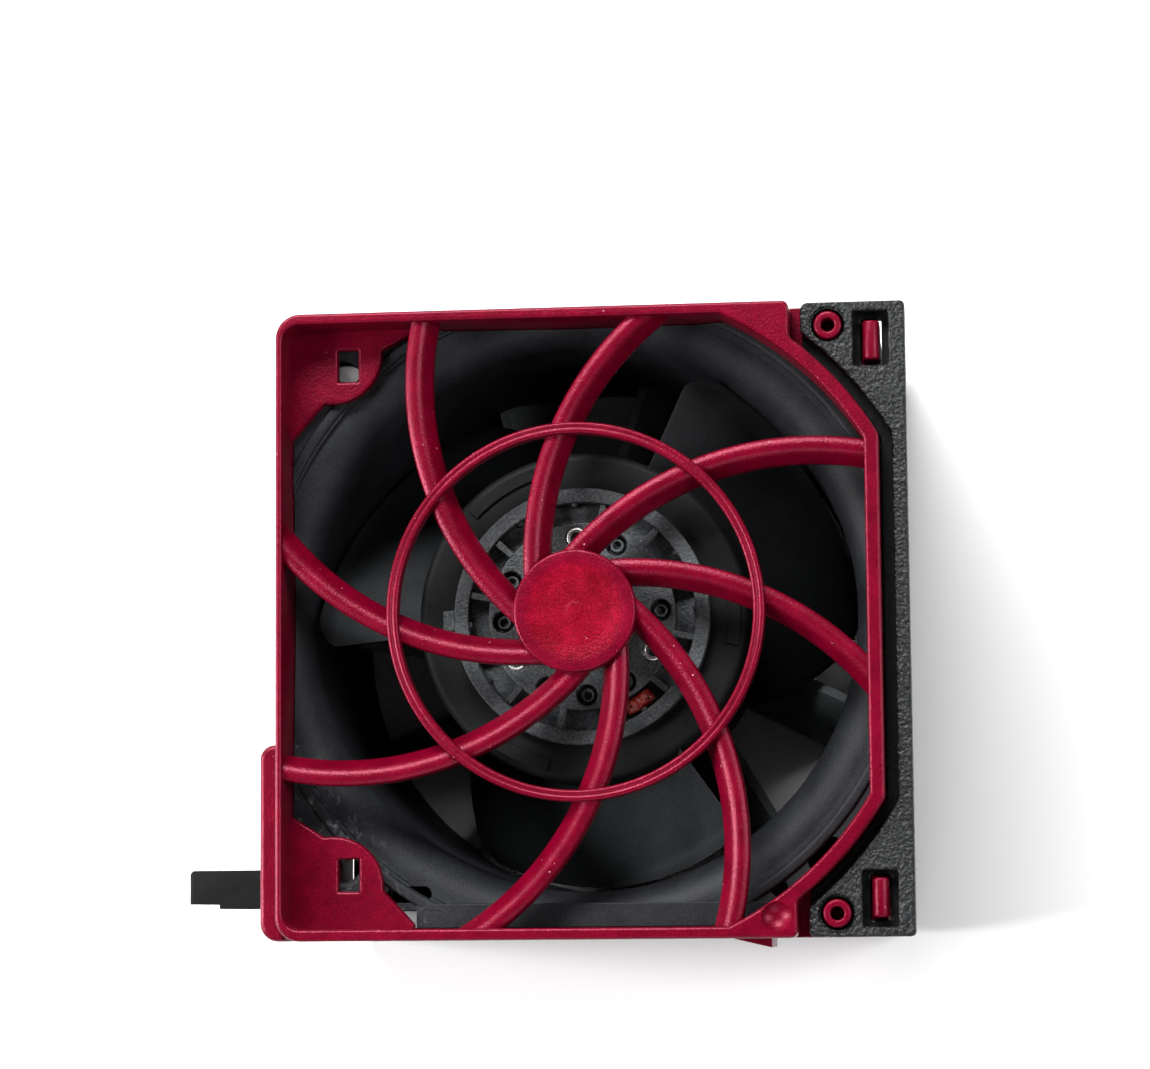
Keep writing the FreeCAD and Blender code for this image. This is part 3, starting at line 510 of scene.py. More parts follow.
def boss_and_hooks():
    """The boss that holds the plug, the snap hooks of the fan, and two locating ribs."""
    boss_x, boss_top, boss_low, boss_high = -33.0, -13.0, 13.0, 41.0
    hook_y, hook_half, toe_low, toe_high = 25.0, 0.7, 33.5, 34.3
    rib_width = 1.0
    bm = bmesh.new()
    boss = outline([(boss_x, outer_bottom, 1.9), (outer_left + 0.4, outer_bottom, 0),
                    (outer_left + 0.4, boss_top, 0), (boss_x, boss_top, 1.5)])
    moulding(bm, boss, [], boss_low, boss_high, top=0.5, bottom=0.4)
    for side in (1, -1):
        low, high = side * hook_y - hook_half, side * hook_y + hook_half
        moulding(bm, rectangle(-27.0, -25.8, low, high, 0.15), [], toe_low, fan_depth + lap)
        moulding(bm, rectangle(-27.6, -26.9, low, high, 0.1), [], toe_low, toe_high)
    for x in (-28.0, 27.0):
        moulding(bm, rectangle(x, x + rib_width, inner_bottom - lap, -inner_top, 0.1), [],
                 rear_edge, plate_z - lap)
    return as_object(bm, "boss_and_hooks")


carrier = joined([rim(), sleeve(), corner_plate(1), corner_plate(-1), ledge(1), ledge(-1),
                  posts(), tab(1), tab(-1), boss_and_hooks()], "carrier_moulding")
finish(carrier, "root", crimson, "carrier_frame")


# ---- Finger guard: dished disc, ring and eight curved spokes ---------------
# The same crimson plastic, moulded in one with the rim. Each spoke is a section
# with a rounded crest and a sloping lee side, swept along an arc to the rim.
disc_r, disc_thick = 6.25, 2.4
ring_outer_r, ring_width, ring_thick = 19.3, 1.2, 1.7
spoke_count = 8
spoke_centre = Vector((5.48, -28.1))
spoke_arc_r = 32.05
spoke_start, spoke_end = 15.0, 93.5


def disc_and_ring():
    """The dished disc with its small gate mark, and the ring with its fine groove."""
    top = rim_front
    dish_rim, dish_foot, dish_drop = 5.2, 3.6, 0.18
    mark_foot, mark_top, mark_drop = 1.0, 0.7, 0.15
    disc = outline([(0, top - disc_thick, 0), (disc_r, top - disc_thick, 0.4),
                    (disc_r, top, 0.30), (dish_rim, top, 3.0), (dish_foot, top - dish_drop, 3.0),
                    (mark_foot, top - 0.2, 0.3), (mark_top, top - mark_drop, 0.3),
                    (0, top - mark_drop, 0)])
    ring_in, ring_low = ring_outer_r - ring_width, top - ring_thick
    groove_r, groove_half = ring_outer_r - 0.6, 0.18
    ring = outline([(ring_in, ring_low, 0.2), (ring_outer_r, ring_low, 0.2),
                    (ring_outer_r, top, 0.28), (groove_r + groove_half, top, 0.1),
                    (groove_r, top - 0.1, 0.2), (groove_r - groove_half, top, 0.1),
                    (ring_in, top, 0.28)])
    bm = bmesh.new()
    lathe(bm, disc, segments=144)
    lathe(bm, ring, segments=192)
    return as_object(bm, "disc_and_ring")


def spoke(number):
    """One spoke, swept about the centre of its arc and trimmed to the rim's inside."""
    half_width, spoke_height, top_gap = 1.35, 3.1, 0.25
    crest_inset, windward_drop, lee_drop = 1.3, 0.64, 2.2
    steps = 64
    top = rim_front - top_gap
    low = top - spoke_height
    inner, outer = spoke_arc_r - half_width, spoke_arc_r + half_width
    section = outline([(inner, low, 0.2), (outer, low, 0.2), (outer, top - windward_drop, 0.4),
                       (outer - crest_inset, top, 1.2), (inner, top - lee_drop, 1.2)])
    bm = bmesh.new()
    rings = []
    for k in range(steps + 1):
        angle = math.radians(spoke_start + (spoke_end - spoke_start) * k / steps)
        rings.append([bm.verts.new((spoke_centre.x + p.x * math.cos(angle),
                                    spoke_centre.y + p.x * math.sin(angle), p.y))
                      for p in section])
    skinned(bm, rings)
    bm.faces.new(rings[0])
    bm.faces.new(rings[-1])
    bmesh.ops.recalc_face_normals(bm, faces=bm.faces)
    spin = Matrix.Rotation(2 * math.pi * number / spoke_count, 3, "Z")
    bmesh.ops.rotate(bm, verts=bm.verts, cent=(0, 0, 0), matrix=spin)
    room = bmesh.new()
    sunk = 0.3
    moulding(room, rim_inside(sunk), [], fan_depth, rim_front + clear, top=0, bottom=0)
    return boolean(as_object(bm, "spoke"), room, "INTERSECT")


rubbed_disc_r = 5.4 * mm
guard = joined([disc_and_ring()] + [spoke(number) for number in range(spoke_count)],
               "guard_moulding")
finish(guard, "root", moulded_crimson("rubbed_crimson_abs", rubbed_disc_r), "finger_guard")


# ---- Release latch ----------------------------------------------------------
# Crimson, cut free in the carrier's lower wall: a springy arm with a ramped hook
# and thumb grips. Its CAD form, with every edge slightly rounded.
def softened(node, name, width):
    """A copy of a CAD node with merged faces and rounded edges."""
    touching = 1e-6
    bm = bmesh.new()
    bm.from_mesh(nodes[node].data)
    bmesh.ops.remove_doubles(bm, verts=bm.verts, dist=touching)
    bmesh.ops.dissolve_limit(bm, angle_limit=math.radians(1), verts=bm.verts, edges=bm.edges)
    thing = as_object(bm, name, metre)
    bevel = thing.modifiers.new("edges", "BEVEL")
    bevel.width = width
    bevel.segments = 3
    bevel.limit_method = "ANGLE"
    bevel.angle_limit = math.radians(30)
    return baked(thing)


finish(softened("release_latch", "latch_moulding", width=0.12 * mm), "latch", crimson,
       "release_latch")


# ---- Pull cover -------------------------------------------------------------
# Near-black PA moulding with a coarse leather grain, pressed over the two posts: a
# bracket of two corner blocks joined by the tall side wall that one pulls on.
def leather_black(name, relief):
    """Black polyamide off an etched tool: pebbled, with small soft glints on the cells."""
    cell_width, swirl_width = 0.3846 * mm, 0.5 * mm
    material, tree, place = new_material(name)
    cells = add(tree, "ShaderNodeTexVoronoi", {
        "Vector": place, "Scale": 1 / cell_width}, feature="SMOOTH_F1")
    swirl = add(tree, "ShaderNodeTexNoise", {
        "Vector": place, "Scale": 1 / swirl_width, "Detail": 4.0, "Distortion": 1.2})
    both = add(tree, "ShaderNodeMath", {
        0: cells.outputs["Distance"], 1: swirl.outputs["Fac"]}, operation="ADD")
    tone = add(tree, "ShaderNodeMapRange", {
        "Value": both.outputs[0], "From Min": 0.55, "From Max": 1.15})
    colour = add(tree, "ShaderNodeMixRGB", {
        0: tone.outputs[0], 1: srgb("#0A0B0B"), 2: srgb("#16181A")})
    bump = add(tree, "ShaderNodeBump", {
        "Height": both.outputs[0], "Strength": 0.9, "Distance": relief})
    shader = add(tree, "ShaderNodeBsdfPrincipled", {
        "Base Color": colour.outputs[0], "Roughness": 0.34, "Specular IOR Level": 0.32,
        "Normal": bump.outputs[0]})
    add(tree, "ShaderNodeOutputMaterial", {"Surface": shader.outputs[0]})
    return material


cover_top, gap_plate_top = 42.5, 40.4
cover_right, wall_x, wall_foot = 33.8, 32.3, 2.0


def cover_holes(post_hole_r, reach, left, right, half_length, corner):
    """Holes for the two posts, and windows for the two tabs."""
    holes = []
    for side in (1, -1):
        holes.append(circle(post_x, mid_y + side * post_reach, post_hole_r))
        y = mid_y + side * reach
        holes.append(rectangle(left, right, y - half_length, y + half_length, corner))
    return holes


def cover_block():
    """The grained cover: its plate with post holes and tab windows, and the side wall."""
    near_x, arc_r, draft = 23.2, 37.2, 0.8
    wall_top, skin, tight = 42.0, 0.01, 0.012
    bottom, top = outer_bottom + 0.05, outer_top - 0.05
    lower = ends_rounded(band_arc(arc_r, near_x, wall_x), 0.7, 1.0)
    loop = outline([(near_x, bottom, 0.6), (cover_right, bottom, 0.5), (cover_right, top, 0.5),
                    (near_x, top, 0.8), *above(lower), *reversed(lower)])
    holes = cover_holes(post_hole_r=1.70, reach=28.3, left=28.57, right=32.12, half_length=2.8,
                        corner=0.25)
    bm = bmesh.new()
    wall = rectangle(wall_x + skin, cover_right - tight, bottom + tight, top - tight, 0.5)
    moulding(bm, wall, [], wall_foot, wall_top, top=0, bottom=0.4)
    for vert in bm.verts:
        vert.co.x -= draft * (wall_top - vert.co.z) / (wall_top - wall_foot)
    moulding(bm, loop, holes, plate_z + 0.02, cover_top, top=0.25, bottom=0.15)
    return as_object(bm, "cover_moulding")


def black_gap_plate():
    """Thin black plate that fills the gap from the cover up to the rim, and collars the tabs."""
    near_x, far_x, gap = 23.3, 33.0, 0.15
    bottom, top = outer_bottom + 0.1, outer_top - 0.1
    lower = band_arc(arc_outer_r + gap, near_x, outer_right + gap)
    loop = outline([(near_x, bottom, 0.6), (far_x, bottom, 0.5), (far_x, top, 0.5),
                    (near_x, top, 0.6), *above(lower), *reversed(lower)])
    holes = cover_holes(post_hole_r=1.6, reach=tab_reach, left=29.3, right=31.4,
                        half_length=2.3, corner=0.2)
    bm = bmesh.new()
    moulding(bm, loop, holes, plate_z + 0.03, gap_plate_top, top=0.15, bottom=0.05)
    return as_object(bm, "black_gap_plate")


def sunk_ring(thing, side, ring_r, depth):
    """The round recess in the cover about a post."""
    ring = bmesh.new()
    moulding(ring, circle(post_x, mid_y + side * post_reach, ring_r), [], cover_top - depth,
             rim_front, top=0, bottom=0)
    boolean(thing, ring, "DIFFERENCE")


black_grain = leather_black("leather_grain_black_pa", relief=0.22 * mm)
smooth_black = leather_black("smooth_black_pa", relief=0.02 * mm)
cover = cover_block()
sunk_ring(cover, side=1, ring_r=1.92, depth=0.22)
sunk_ring(cover, side=-1, ring_r=1.95, depth=0.5)
finish(cover, "root", black_grain, "handle_cover")
# A thin black plate fills the gap between the cover and the rim, and round the tabs.
finish(black_gap_plate(), "root", smooth_black)


# ---- Fan housing ------------------------------------------------------------
# Charcoal glass-filled PBT, satin with a fine matt grain: rear and front flange,
# round duct, and a bell mouth so wide that the square sides cut into it.
def filled_plastic(name, dark, light, rough, shine=0.5, grain=0.04 * mm):
    """Plastic with glass or mineral filler: clouded, speckled, with a broken sheen."""
    cloud_width, speck_width = 4.762 * mm, 0.2778 * mm
    material, tree, place = new_material(name)
    cloud = add(tree, "ShaderNodeTexNoise", {
        "Vector": place, "Scale": 1 / cloud_width, "Detail": 6.0, "Roughness": 0.6})
    speck = add(tree, "ShaderNodeTexNoise", {
        "Vector": place, "Scale": 1 / speck_width, "Detail": 3.0})
    blend = add(tree, "ShaderNodeMath", {
        0: cloud.outputs["Fac"], 1: speck.outputs["Fac"]}, operation="MULTIPLY")
    tone = add(tree, "ShaderNodeMapRange", {
        "Value": blend.outputs[0], "From Min": 0.12, "From Max": 0.38})
    colour = add(tree, "ShaderNodeMixRGB", {0: tone.outputs[0], 1: srgb(dark), 2: srgb(light)})
    bump = add(tree, "ShaderNodeBump", {
        "Height": speck.outputs["Fac"], "Strength": 0.8, "Distance": grain})
    gloss = add(tree, "ShaderNodeMapRange", {
        "Value": cloud.outputs["Fac"], "To Min": rough - 0.08, "To Max": rough + 0.10})
    shader = add(tree, "ShaderNodeBsdfPrincipled", {
        "Base Color": colour.outputs[0], "Roughness": gloss.outputs[0], "Specular IOR Level": shine,
        "Normal": bump.outputs[0]})
    add(tree, "ShaderNodeOutputMaterial", {"Surface": shader.outputs[0]})
    return material


throat_r, duct_wall = 28.3, 1.3
flange, flange_corner_r = 3.6, 3.0
bell_r, bell_drop = 3.8, 0.4
screw, screw_r = 25.0, 2.15
quarters = ((1, 1), (-1, 1), (-1, -1), (1, -1))
square = rectangle(-half, half, -half, half, flange_corner_r)


def turned(profile, name):
    """A piece turned about the fan axis, in fine steps."""
    bm = bmesh.new()
    lathe(bm, profile, segments=192)
    return as_object(bm, name)


def trimmed(thing):
    """A turned piece, cut off at the square sides of the fan."""
    block = bmesh.new()
    moulding(block, square, [], 0, fan_depth + 2, top=0, bottom=0)
    return boolean(thing, block, "INTERSECT")


def front_flange():
    """Duct, bell mouth and front flange: a turned ring trimmed to the square plan."""
    duct_r, duct_low, flange_low = throat_r + duct_wall, flange + lap, fan_depth - flange
    rim_z, step_in, step_out, past_corner = fan_depth - bell_drop, 32.6, 32.75, 44
    cut_low, cut_high, mark_depth = 30, 40, 1.2
    steps = 16
    arcs = [math.pi / 2 * k / steps for k in range(steps + 1)]
    bell = [(throat_r + bell_r - bell_r * math.cos(a), rim_z - bell_r + bell_r * math.sin(a), 0)
            for a in arcs]
    profile = outline([(duct_r, duct_low, 0), (throat_r, duct_low, 0), *bell,
                       (step_in, rim_z, 0.15), (step_out, fan_depth, 0.12),
                       (past_corner, fan_depth, 0), (past_corner, flange_low, 0),
                       (duct_r, flange_low, 0.4)])
    ring = trimmed(turned(profile, "front_flange"))
    lead_slot = rectangle(-20.3, -15.7, -29.25, -27.55, 0.84)
    ejector_mark = circle(20.0, -28.1, 0.9, 32)
    cuts = [(circle(x * screw, y * screw, screw_r), cut_low) for x, y in quarters]
    cuts += [(lead_slot, cut_low), (ejector_mark, fan_depth - mark_depth)]
    cutters = bmesh.new()
    for plan, low in cuts:
        moulding(cutters, plan, [], low, cut_high, top=0, bottom=0)
    return boolean(ring, cutters, "DIFFERENCE")


def rear_flange():
    """The square exhaust flange, with its four screw holes."""
    holes = [circle(0, 0, throat_r, 160)]
    holes += [circle(x * screw, y * screw, screw_r) for x, y in quarters]
    bm = bmesh.new()
    moulding(bm, square, holes, 0, flange, top=0.2, bottom=0.3)
    return as_object(bm, "rear_flange")


def bell_lip():
    """The raised bead round the bell mouth, on the corners of the front flange."""
    near_r, far_r, low, high = 32.95, 34.2, fan_depth - 0.6, fan_depth + 0.32
    bead = outline([(near_r, low, 0), (far_r, low, 0), (far_r, high, 0.35), (near_r, high, 0.5)])
    return trimmed(turned(bead, "bell_lip"))


def lower_lip():
    """Lip of the front flange that closes the gap above the latch, down to the carrier."""
    left, right, low, high = -17.2, 20.5, fan_depth - 0.05, fan_depth + 0.25
    bm = bmesh.new()
    moulding(bm, rectangle(left, right, inner_bottom + 0.03, 0.6 - half, 0.2), [], low, high,
             top=0.12, bottom=0)
    return as_object(bm, "lower_lip")


def scuffed_and_highlit(material):
    """Pale scuffs and a painted highlight on the lower left of the bell, where the module slides
    out of its bay.
    """
    towards = (-0.82, -0.57, 0.0)
    scuff_highlight_from, scuff_highlight_full, scuff_highlight_width = 29.5 * mm, 32.5 * mm, 2.381 * mm
    tree = material.node_tree
    shader = next(n for n in tree.nodes if n.type == "BSDF_PRINCIPLED")
    unmarked = shader.inputs["Base Color"].links[0].from_socket
    place = add(tree, "ShaderNodeTexCoord").outputs["Object"]
    along = add(tree, "ShaderNodeVectorMath", {0: place, 1: towards}, operation="DOT_PRODUCT")
    area = add(tree, "ShaderNodeMapRange", {
        "Value": along.outputs["Value"], "From Min": scuff_highlight_from, "From Max": scuff_highlight_full})
    marks = add(tree, "ShaderNodeTexNoise", {
        "Vector": place, "Scale": 1 / scuff_highlight_width, "Detail": 8.0, "Roughness": 0.7,
        "Distortion": 1.5})
    scuff_and_highlight = add(tree, "ShaderNodeMapRange", {
        "Value": marks.outputs["Fac"], "From Min": 0.56, "From Max": 0.74, "To Max": 0.55})
    amount = add(tree, "ShaderNodeMath", {
        0: area.outputs[0], 1: scuff_and_highlight.outputs[0]}, operation="MULTIPLY")
    # The pale grey mixed in here is partly scuffs and partly a painted highlight.
    tone = add(tree, "ShaderNodeMixRGB", {0: amount.outputs[0], 1: unmarked, 2: srgb("#8B9194")})
    tree.links.new(tone.outputs[0], shader.inputs["Base Color"])
    return material


# Charcoal, with little sheen; pale scuffs and a painted highlight on the bell's lower left.
charcoal = scuffed_and_highlit(filled_plastic("charcoal_pbt", "#15161A", "#232528", rough=0.54, shine=0.20))
housing = joined([front_flange(), rear_flange(), bell_lip(), lower_lip()], "housing_moulding")
finish(housing, "root", charcoal, "fan_housing")


# ---- Motor mount and guide vanes -------------------------------------------
# The same PBT, painted paler than the housing as painted light, for the light that
# reaches the vanes down the duct. The CAD form shows as it is: base cup, collar and
# eleven leaning vanes.
def dress(names, material):
    """Gives CAD nodes their material."""
    for name in names:
        slots = nodes[name].data.materials
        slots.clear()
        slots.append(material)


# Painted light: the vanes' grey is paler than the PBT they are moulded in.
dress(["motor_mount"], filled_plastic("pbt_vanes_painted_light", "#53585A", "#767B7D", rough=0.50))


# ---- Impeller: three wide blades and the pocketed hub -----------------------
# Matt near-black PBT blades, swept and warped from hub to tip; the hub face is a
# paler, mottled web of twelve pockets with ribs, sockets and a raised ring.
hub_r, tip_r = 17.1, 27.75
hub_front, hub_face, shoulder_z, pocket_floor = 37.5, 37.2, 36.3, 34.5
hub_ring_out, hub_ring_in, pocket_in = 13.3, 11.75, 9.7
pocket_count, pocket_start = 12, 3.4
socket_circle = 8.15
blade_count = 3
blade_front, blade_rear = 35.8, 10.0


def repeat_tree():
    """Geometry nodes that repeat a piece round the fan axis."""
    tree = bpy.data.node_groups.new("repeat_round_axis", "GeometryNodeTree")
    face = tree.interface
    for name, kind in (("Geometry", "Geometry"), ("Count", "Int"), ("Start", "Float"),
                       ("Material", "Material")):
        face.new_socket(name, in_out="INPUT", socket_type="NodeSocket" + kind)
    face.new_socket("Geometry", in_out="OUTPUT", socket_type="NodeSocketGeometry")
    given = add(tree, "NodeGroupInput")
    points = add(tree, "GeometryNodePoints", {"Count": given.outputs["Count"]})
    share = add(tree, "ShaderNodeMath", {
        0: math.tau, 1: given.outputs["Count"]}, operation="DIVIDE")
    index = add(tree, "GeometryNodeInputIndex")
    angle = add(tree, "ShaderNodeMath", {
        0: index.outputs[0], 1: share.outputs[0], 2: given.outputs["Start"]},
        operation="MULTIPLY_ADD")
    turn_by = add(tree, "ShaderNodeCombineXYZ", {"Z": angle.outputs[0]})
    copies = add(tree, "GeometryNodeInstanceOnPoints", {
        "Points": points.outputs[0], "Instance": given.outputs["Geometry"],
        "Rotation": turn_by.outputs[0]})
    real = add(tree, "GeometryNodeRealizeInstances", {"Geometry": copies.outputs[0]})
    coat = add(tree, "GeometryNodeSetMaterial", {
        "Geometry": real.outputs[0], "Material": given.outputs["Material"]})
    add(tree, "NodeGroupOutput", {"Geometry": coat.outputs[0]})
    return tree


repeat = repeat_tree()


def repeated(bm, name, count, start, material):
    """One drawn piece, repeated evenly round the fan axis from a start in degrees."""
    thing = as_object(bm, name)
    modifier = thing.modifiers.new("repeat", "NODES")
    modifier.node_group = repeat
    values = {"Count": count, "Start": math.radians(start), "Material": material}
    for item in repeat.interface.items_tree:
        if item.in_out == "INPUT" and item.name in values:
            modifier[item.identifier] = values[item.name]
    return baked(thing)


def blade_point(share_r, share_c, side):
    """A point of the blade: share of its span, of its chord, and front or rear skin."""
    root_sink, corner_start = 0.8, 1.8
    lead_angle, tip_wrap, wrap_per_mm = 65.7, 66.0, 2.6
    lead_curl, trail_curl = 1.6, 0.9
    sag, half_thick, edge_share = 0.10, 0.7, 0.30
    r = hub_r - root_sink + share_r * (tip_r - hub_r + root_sink)
    wrap = tip_wrap + (tip_r - r) * wrap_per_mm
    corner = max(0.0, r - tip_r + corner_start)
    lead = lead_angle - lead_curl * corner ** 2
    trail = lead_angle - wrap + trail_curl * corner ** 2
    bulge = math.sin(math.pi * share_c)
    fullness = edge_share + (1 - edge_share) * math.sqrt(max(bulge, 0.0))
    z = blade_front - (share_c + sag * bulge) * (blade_front - blade_rear)
    z += side * half_thick * fullness
    angle = math.radians(lead + share_c * (trail - lead))
    return (r * math.cos(angle), r * math.sin(angle), z)


def blade_mesh():
    span, chord = 24, 72
    chord_shares = [0.5 - 0.5 * math.cos(math.pi * j / chord) for j in range(chord + 1)]
    bm = bmesh.new()
    skins = []
    for side in (1, -1):
        skins.append([[bm.verts.new(blade_point(i / span, share, side)) for share in chord_shares]
                      for i in range(span + 1)])
    front, rear = skins
    for i in range(span):
        for j in range(chord):
            for skin in skins:
                bm.faces.new((skin[i][j], skin[i + 1][j], skin[i + 1][j + 1], skin[i][j + 1]))
        for j in (0, chord):
            bm.faces.new((front[i][j], front[i + 1][j], rear[i + 1][j], rear[i][j]))
    for i in (0, span):
        for j in range(chord):
            bm.faces.new((front[i][j], front[i][j + 1], rear[i][j + 1], rear[i][j]))
    bmesh.ops.recalc_face_normals(bm, faces=bm.faces)
    return bm


def hub_shell():
    """The drum of the hub, with its rounded shoulder and the floor of its pockets."""
    skirt_in, skirt_rear, bore_r = 15.2, 9.6, 1.5
    web_z, ring_foot = pocket_floor - 1.4, hub_ring_out - 0.2
    profile = outline([
        (skirt_in, skirt_rear, 0.2), (hub_r, skirt_rear, 0.2), (hub_r, shoulder_z, 0.9),
        (ring_foot, shoulder_z, 0), (ring_foot, pocket_floor, 0),
        (bore_r, pocket_floor, 0), (bore_r, web_z, 0), (skirt_in, web_z, 0.2)])
    return turned(profile, "hub_shell")


def hub_ring():
    """The raised ring round the pockets, and the skin of their floors."""
    bore_r, skin_low, skin_high = 1.6, pocket_floor - 0.2, pocket_floor + 0.9
    profile = outline([(bore_r, skin_low, 0), (hub_ring_out, skin_low, 0),
                       (hub_ring_out, hub_front, 0.2), (hub_ring_in, hub_front, 0.2),
                       (hub_ring_in, skin_high, 0.25), (bore_r, skin_high, 0)])
    return turned(profile, "hub_ring")


def hub_face_plate():
    """The round plate inside the pockets, with a shaft bore and twelve sockets."""
    bore_r, socket_r = 1.55, 1.1
    holes = [circle(0, 0, bore_r)]
    for k in range(pocket_count):
        angle = math.radians(pocket_start + 360 / pocket_count * k)
        holes.append(circle(socket_circle * math.cos(angle), socket_circle * math.sin(angle),
                            socket_r, 32))
    bm = bmesh.new()
    moulding(bm, circle(0, 0, pocket_in, 144), holes, pocket_floor - 0.2, hub_face, top=0.16,
             bottom=0)
    return as_object(bm, "hub_face_plate")


def hub_details(material):
    """Ribs between the pockets, nubs on the wall of the ring, inserts in the sockets."""
    rib_half, sunk, rib_top = 0.35, 0.15, hub_front - 0.25
    rib = bmesh.new()
    moulding(rib, rectangle(pocket_in - sunk, hub_ring_in + sunk, -rib_half, rib_half), [],
             pocket_floor - lap, rib_top, top=0.12, bottom=0)
    nub_r, nub_top = 0.3, 37.1
    nub = bmesh.new()
    lathe(nub, outline([(0, pocket_floor, 0), (nub_r, pocket_floor, 0), (nub_r, nub_top, 0.12),
                        (0, nub_top, 0)]), hub_ring_in - 0.05, 0, 20)
    flange_r, neck_r, bore_r = 1.14, 0.72, 0.45
    foot, flange_top, neck_top, bore_floor = 35.6, 35.9, 36.55, 35.85
    insert = bmesh.new()
    lathe(insert, outline([(0, foot, 0), (flange_r, foot, 0), (flange_r, flange_top, 0),
                           (neck_r, flange_top, 0.05), (neck_r, neck_top, 0.1),
                           (bore_r, neck_top, 0.1), (bore_r, bore_floor, 0.05),
                           (0, bore_floor, 0)]), socket_circle, 0, 32)
    rib_start = pocket_start + 180 / pocket_count
    return [repeated(rib, "ribs", pocket_count, rib_start, material),
            repeated(nub, "nubs", pocket_count, pocket_start, material),
            repeated(insert, "inserts", pocket_count, pocket_start, material)]


def lands(material):
    """Three low arcs on the shoulder of the hub."""
    land_out, land_in, land_start, land_end = 16.4, 15.1, -11.5, 16.5
    plan = outline(arc(0, 0, land_out, land_start, land_end, 2)
                   + arc(0, 0, land_in, land_end, land_start, 2))
    bm = bmesh.new()
    moulding(bm, plan, [], shoulder_z - lap, shoulder_z + 0.27, top=0.1, bottom=0)
    return repeated(bm, "lands", blade_count, 0, material)


def key_block():
    """The small block on the shoulder that shows how the hub is turned."""
    near_r, far_r, half_width, key_top, key_angle = 12.3, 14.5, 1.05, 37.0, 181
    bm = bmesh.new()
    moulding(bm, rectangle(near_r, far_r, -half_width, half_width, 0.15), [], shoulder_z - lap,
             key_top, top=0.12, bottom=0)
    spin = Matrix.Rotation(math.radians(key_angle), 3, "Z")
    bmesh.ops.rotate(bm, verts=bm.verts, cent=(0, 0, 0), matrix=spin)
    return as_object(bm, "key_block")


# Blades dull and near black; the drum painted darker than the blades, as painted shade on the
# hub shoulder; the hub face pale with wear, and grainy.
blade_black = filled_plastic("matt_black_pbt", "#17191B", "#232628", rough=0.60, shine=0.22)
hub_shaded_black = filled_plastic("charcoal_pbt_hub_painted_shade", "#08090A", "#101213", rough=0.60, shine=0.15)
hub_grey = filled_plastic("mottled_grey_pbt", "#1D2022", "#585C5F", rough=0.45, shine=0.4,
                          grain=0.10 * mm)

blades = repeated(blade_mesh(), "impeller_blades", blade_count, 0, blade_black)
finish(blades, "rotor", blade_black)
# The drum and its lands take the darker black: painted shade on the hub shoulder.
shell = joined([hub_shell(), lands(hub_shaded_black)], "hub_shell")
finish(shell, "rotor", hub_shaded_black)
hub_parts = joined([hub_face_plate(), hub_ring(), key_block()] + hub_details(hub_grey),
                   "hub_face_web")
finish(hub_parts, "rotor", hub_grey)
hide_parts("impeller")


# ---- Hub hardware: rivet eyelets and balance putty --------------------------
# Three bright tin-plated eyelets in the sockets that hold the impeller to its
# steel cup, and glossy brick-red putty pushed into two pockets for balance.
def metal(name, colour, roughness):
    """Bare or plated metal, drawn or ground: its sheen broken by fine dull flecks."""
    fleck_width = 0.4167 * mm
    material, tree, place = new_material(name)
    noise = add(tree, "ShaderNodeTexNoise", {
        "Vector": place, "Scale": 1 / fleck_width, "Detail": 4.0})
    rough = add(tree, "ShaderNodeMapRange", {
        "Value": noise.outputs["Fac"], "To Min": roughness - 0.07, "To Max": roughness + 0.12})
    tone = add(tree, "ShaderNodeMixRGB", {
        0: noise.outputs["Fac"], 1: srgb(colour), 2: srgb("#8C8C8C")})
    shader = add(tree, "ShaderNodeBsdfPrincipled", {
        "Base Color": tone.outputs[0], "Roughness": rough.outputs[0], "Metallic": 1.0})
    add(tree, "ShaderNodeOutputMaterial", {"Surface": shader.outputs[0]})
    return material


eyelet_count, eyelet_start = 3, 93.4
bore_r, barrel_r, brim_r = 0.62, 0.72, 1.12
barrel_low, brim_low = 35.0, 36.2
eyelet = bmesh.new()
lathe(eyelet, outline([(bore_r, barrel_low, 0), (barrel_r, barrel_low, 0),
                       (barrel_r, brim_low, 0.05), (brim_r, brim_low + 0.1, 0.05),
                       (brim_r, 37.25, 0.25), (bore_r, 37.1, 0.3)]), socket_circle, 0, 48)
bright_tin = metal("bright_tin_plate", "#F6F6F2", 0.42)
eyelets = repeated(eyelet, "eyelet_rims", eyelet_count, eyelet_start, bright_tin)
finish(eyelets, "rotor", bright_tin, "hub_eyelets")


def putty_red():
    """Epoxy putty, pressed in wet: glossy, lumpy and brick red."""
    lump_width, lump_height = 0.7692 * mm, 0.6 * mm
    material, tree, place = new_material("glossy_red_balance_putty")
    lumps = add(tree, "ShaderNodeTexNoise", {
        "Vector": place, "Scale": 1 / lump_width, "Detail": 4.0})
    tone = add(tree, "ShaderNodeMixRGB", {
        0: lumps.outputs["Fac"], 1: srgb("#5A0B0A"), 2: srgb("#9C2A20")})
    bump = add(tree, "ShaderNodeBump", {
        "Height": lumps.outputs["Fac"], "Strength": 1.0, "Distance": lump_height})
    shader = add(tree, "ShaderNodeBsdfPrincipled", {
        "Base Color": tone.outputs[0], "Roughness": 0.16, "Normal": bump.outputs[0]})
    add(tree, "ShaderNodeOutputMaterial", {"Surface": shader.outputs[0]})
    return material


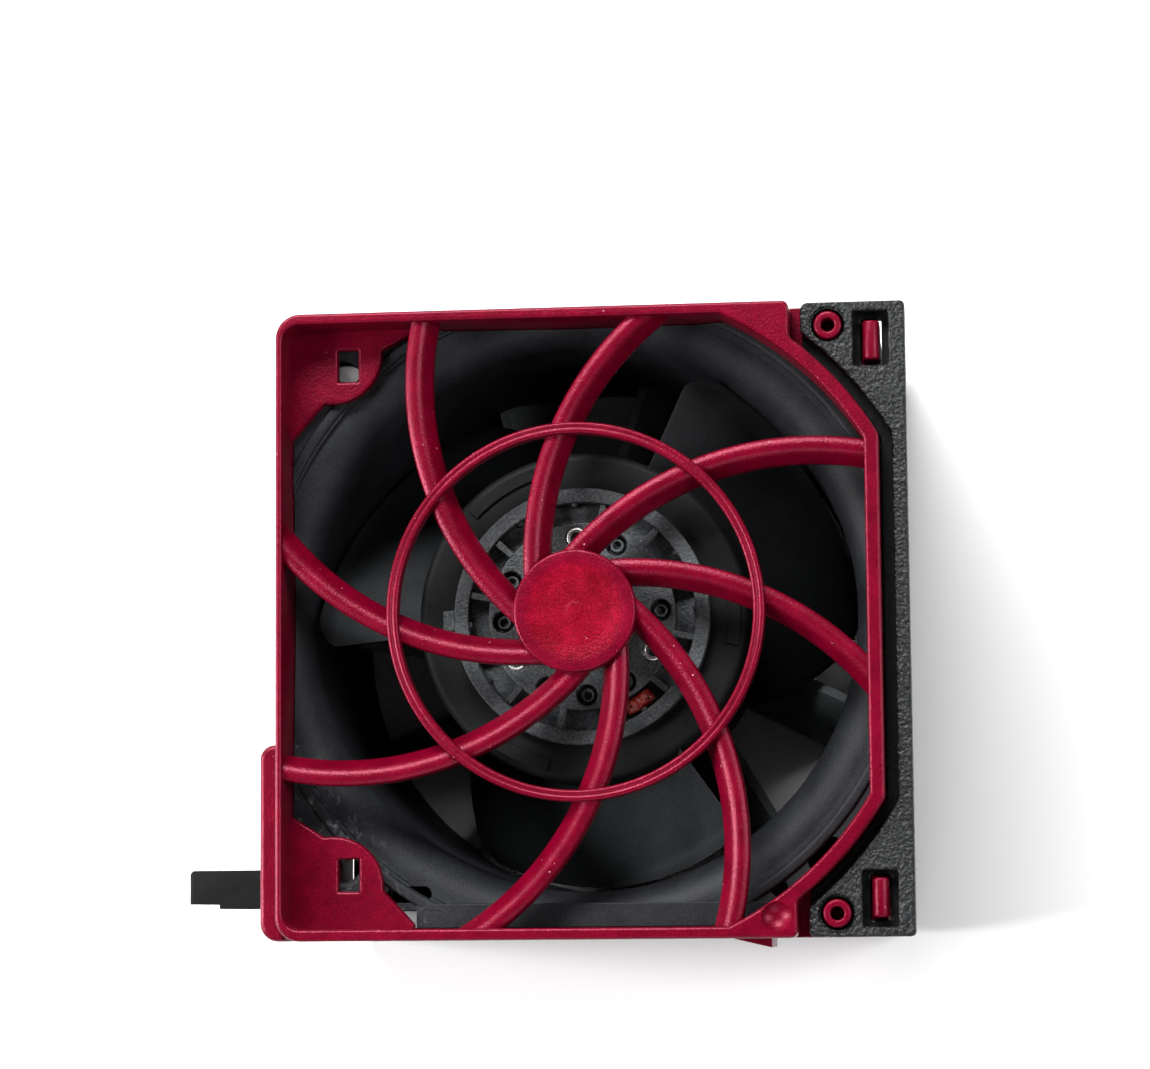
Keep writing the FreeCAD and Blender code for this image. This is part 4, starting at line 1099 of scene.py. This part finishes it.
def putty_lump(bm, middle, span, high):
    """A soft-edged lump that fills most of one pocket."""
    start, end, corner = middle - span / 2, middle + span / 2, 0.25
    outer = ends_rounded(arc(0, 0, hub_ring_in - 0.35, start, end, 3), corner, corner)
    inner = ends_rounded(arc(0, 0, pocket_in + 0.2, end, start, 3), corner, corner)
    moulding(bm, outline(outer + inner), [], pocket_floor, high, top=0.55, bottom=0)


putty = bmesh.new()
putty_lump(putty, middle=303.4, span=17, high=36.9)
putty_lump(putty, middle=333.4, span=12, high=36.1)
finish(as_object(putty, "putty_lumps"), "rotor", putty_red(), "balance_putty")


# ---- Blind-mate plug --------------------------------------------------------
# Matt black nylon body with six brass contacts in its nose; CAD form, with its
# edges rounded as moulded.
black_nylon = filled_plastic("black_nylon", "#0A0B0B", "#131415", rough=0.70, shine=0.12)
finish(softened("plug_housing", "plug_body", width=0.18 * mm), "root", black_nylon,
       "plug_housing")
dress(["plug_contacts", "bearing_tube"], metal("drawn_brass", "#D9B36A", 0.3))


# ---- Motor and bearings -----------------------------------------------------
# Hidden behind the hub unless the module is opened: ground steel, zinc plate,
# ferrite, laminations, nylon, copper and a green board, on the CAD forms.
dress(["rear_bearing_outer_ring", "front_bearing_outer_ring", "rear_bearing_inner_ring",
       "front_bearing_inner_ring", "rear_bearing_balls", "front_bearing_balls",
       "preload_spacer", "shaft", "retaining_clip"], metal("ground_steel", "#D0D2D4", 0.25))
dress(["rotor_cup"], metal("zinc_plated_steel", "#B9BDC0", 0.36))
dress(["stator_core"], metal("silicon_steel_laminations", "#85888A", 0.4))
dress(["stator_windings"], metal("enamelled_copper", "#C8713A", 0.3))
dress(["magnet_ring"], filled_plastic("bonded_ferrite", "#202023", "#3A3A3E", rough=0.6))
dress(["board_components"], filled_plastic("black_epoxy", "#151517", "#2A2A2C", rough=0.5))
dress(["stator_insulators"], filled_plastic("white_nylon", "#C9C6BA", "#E8E6DC", rough=0.5))
dress(["circuit_board"], filled_plastic("green_solder_mask", "#0F4A24", "#1C7038", rough=0.35))
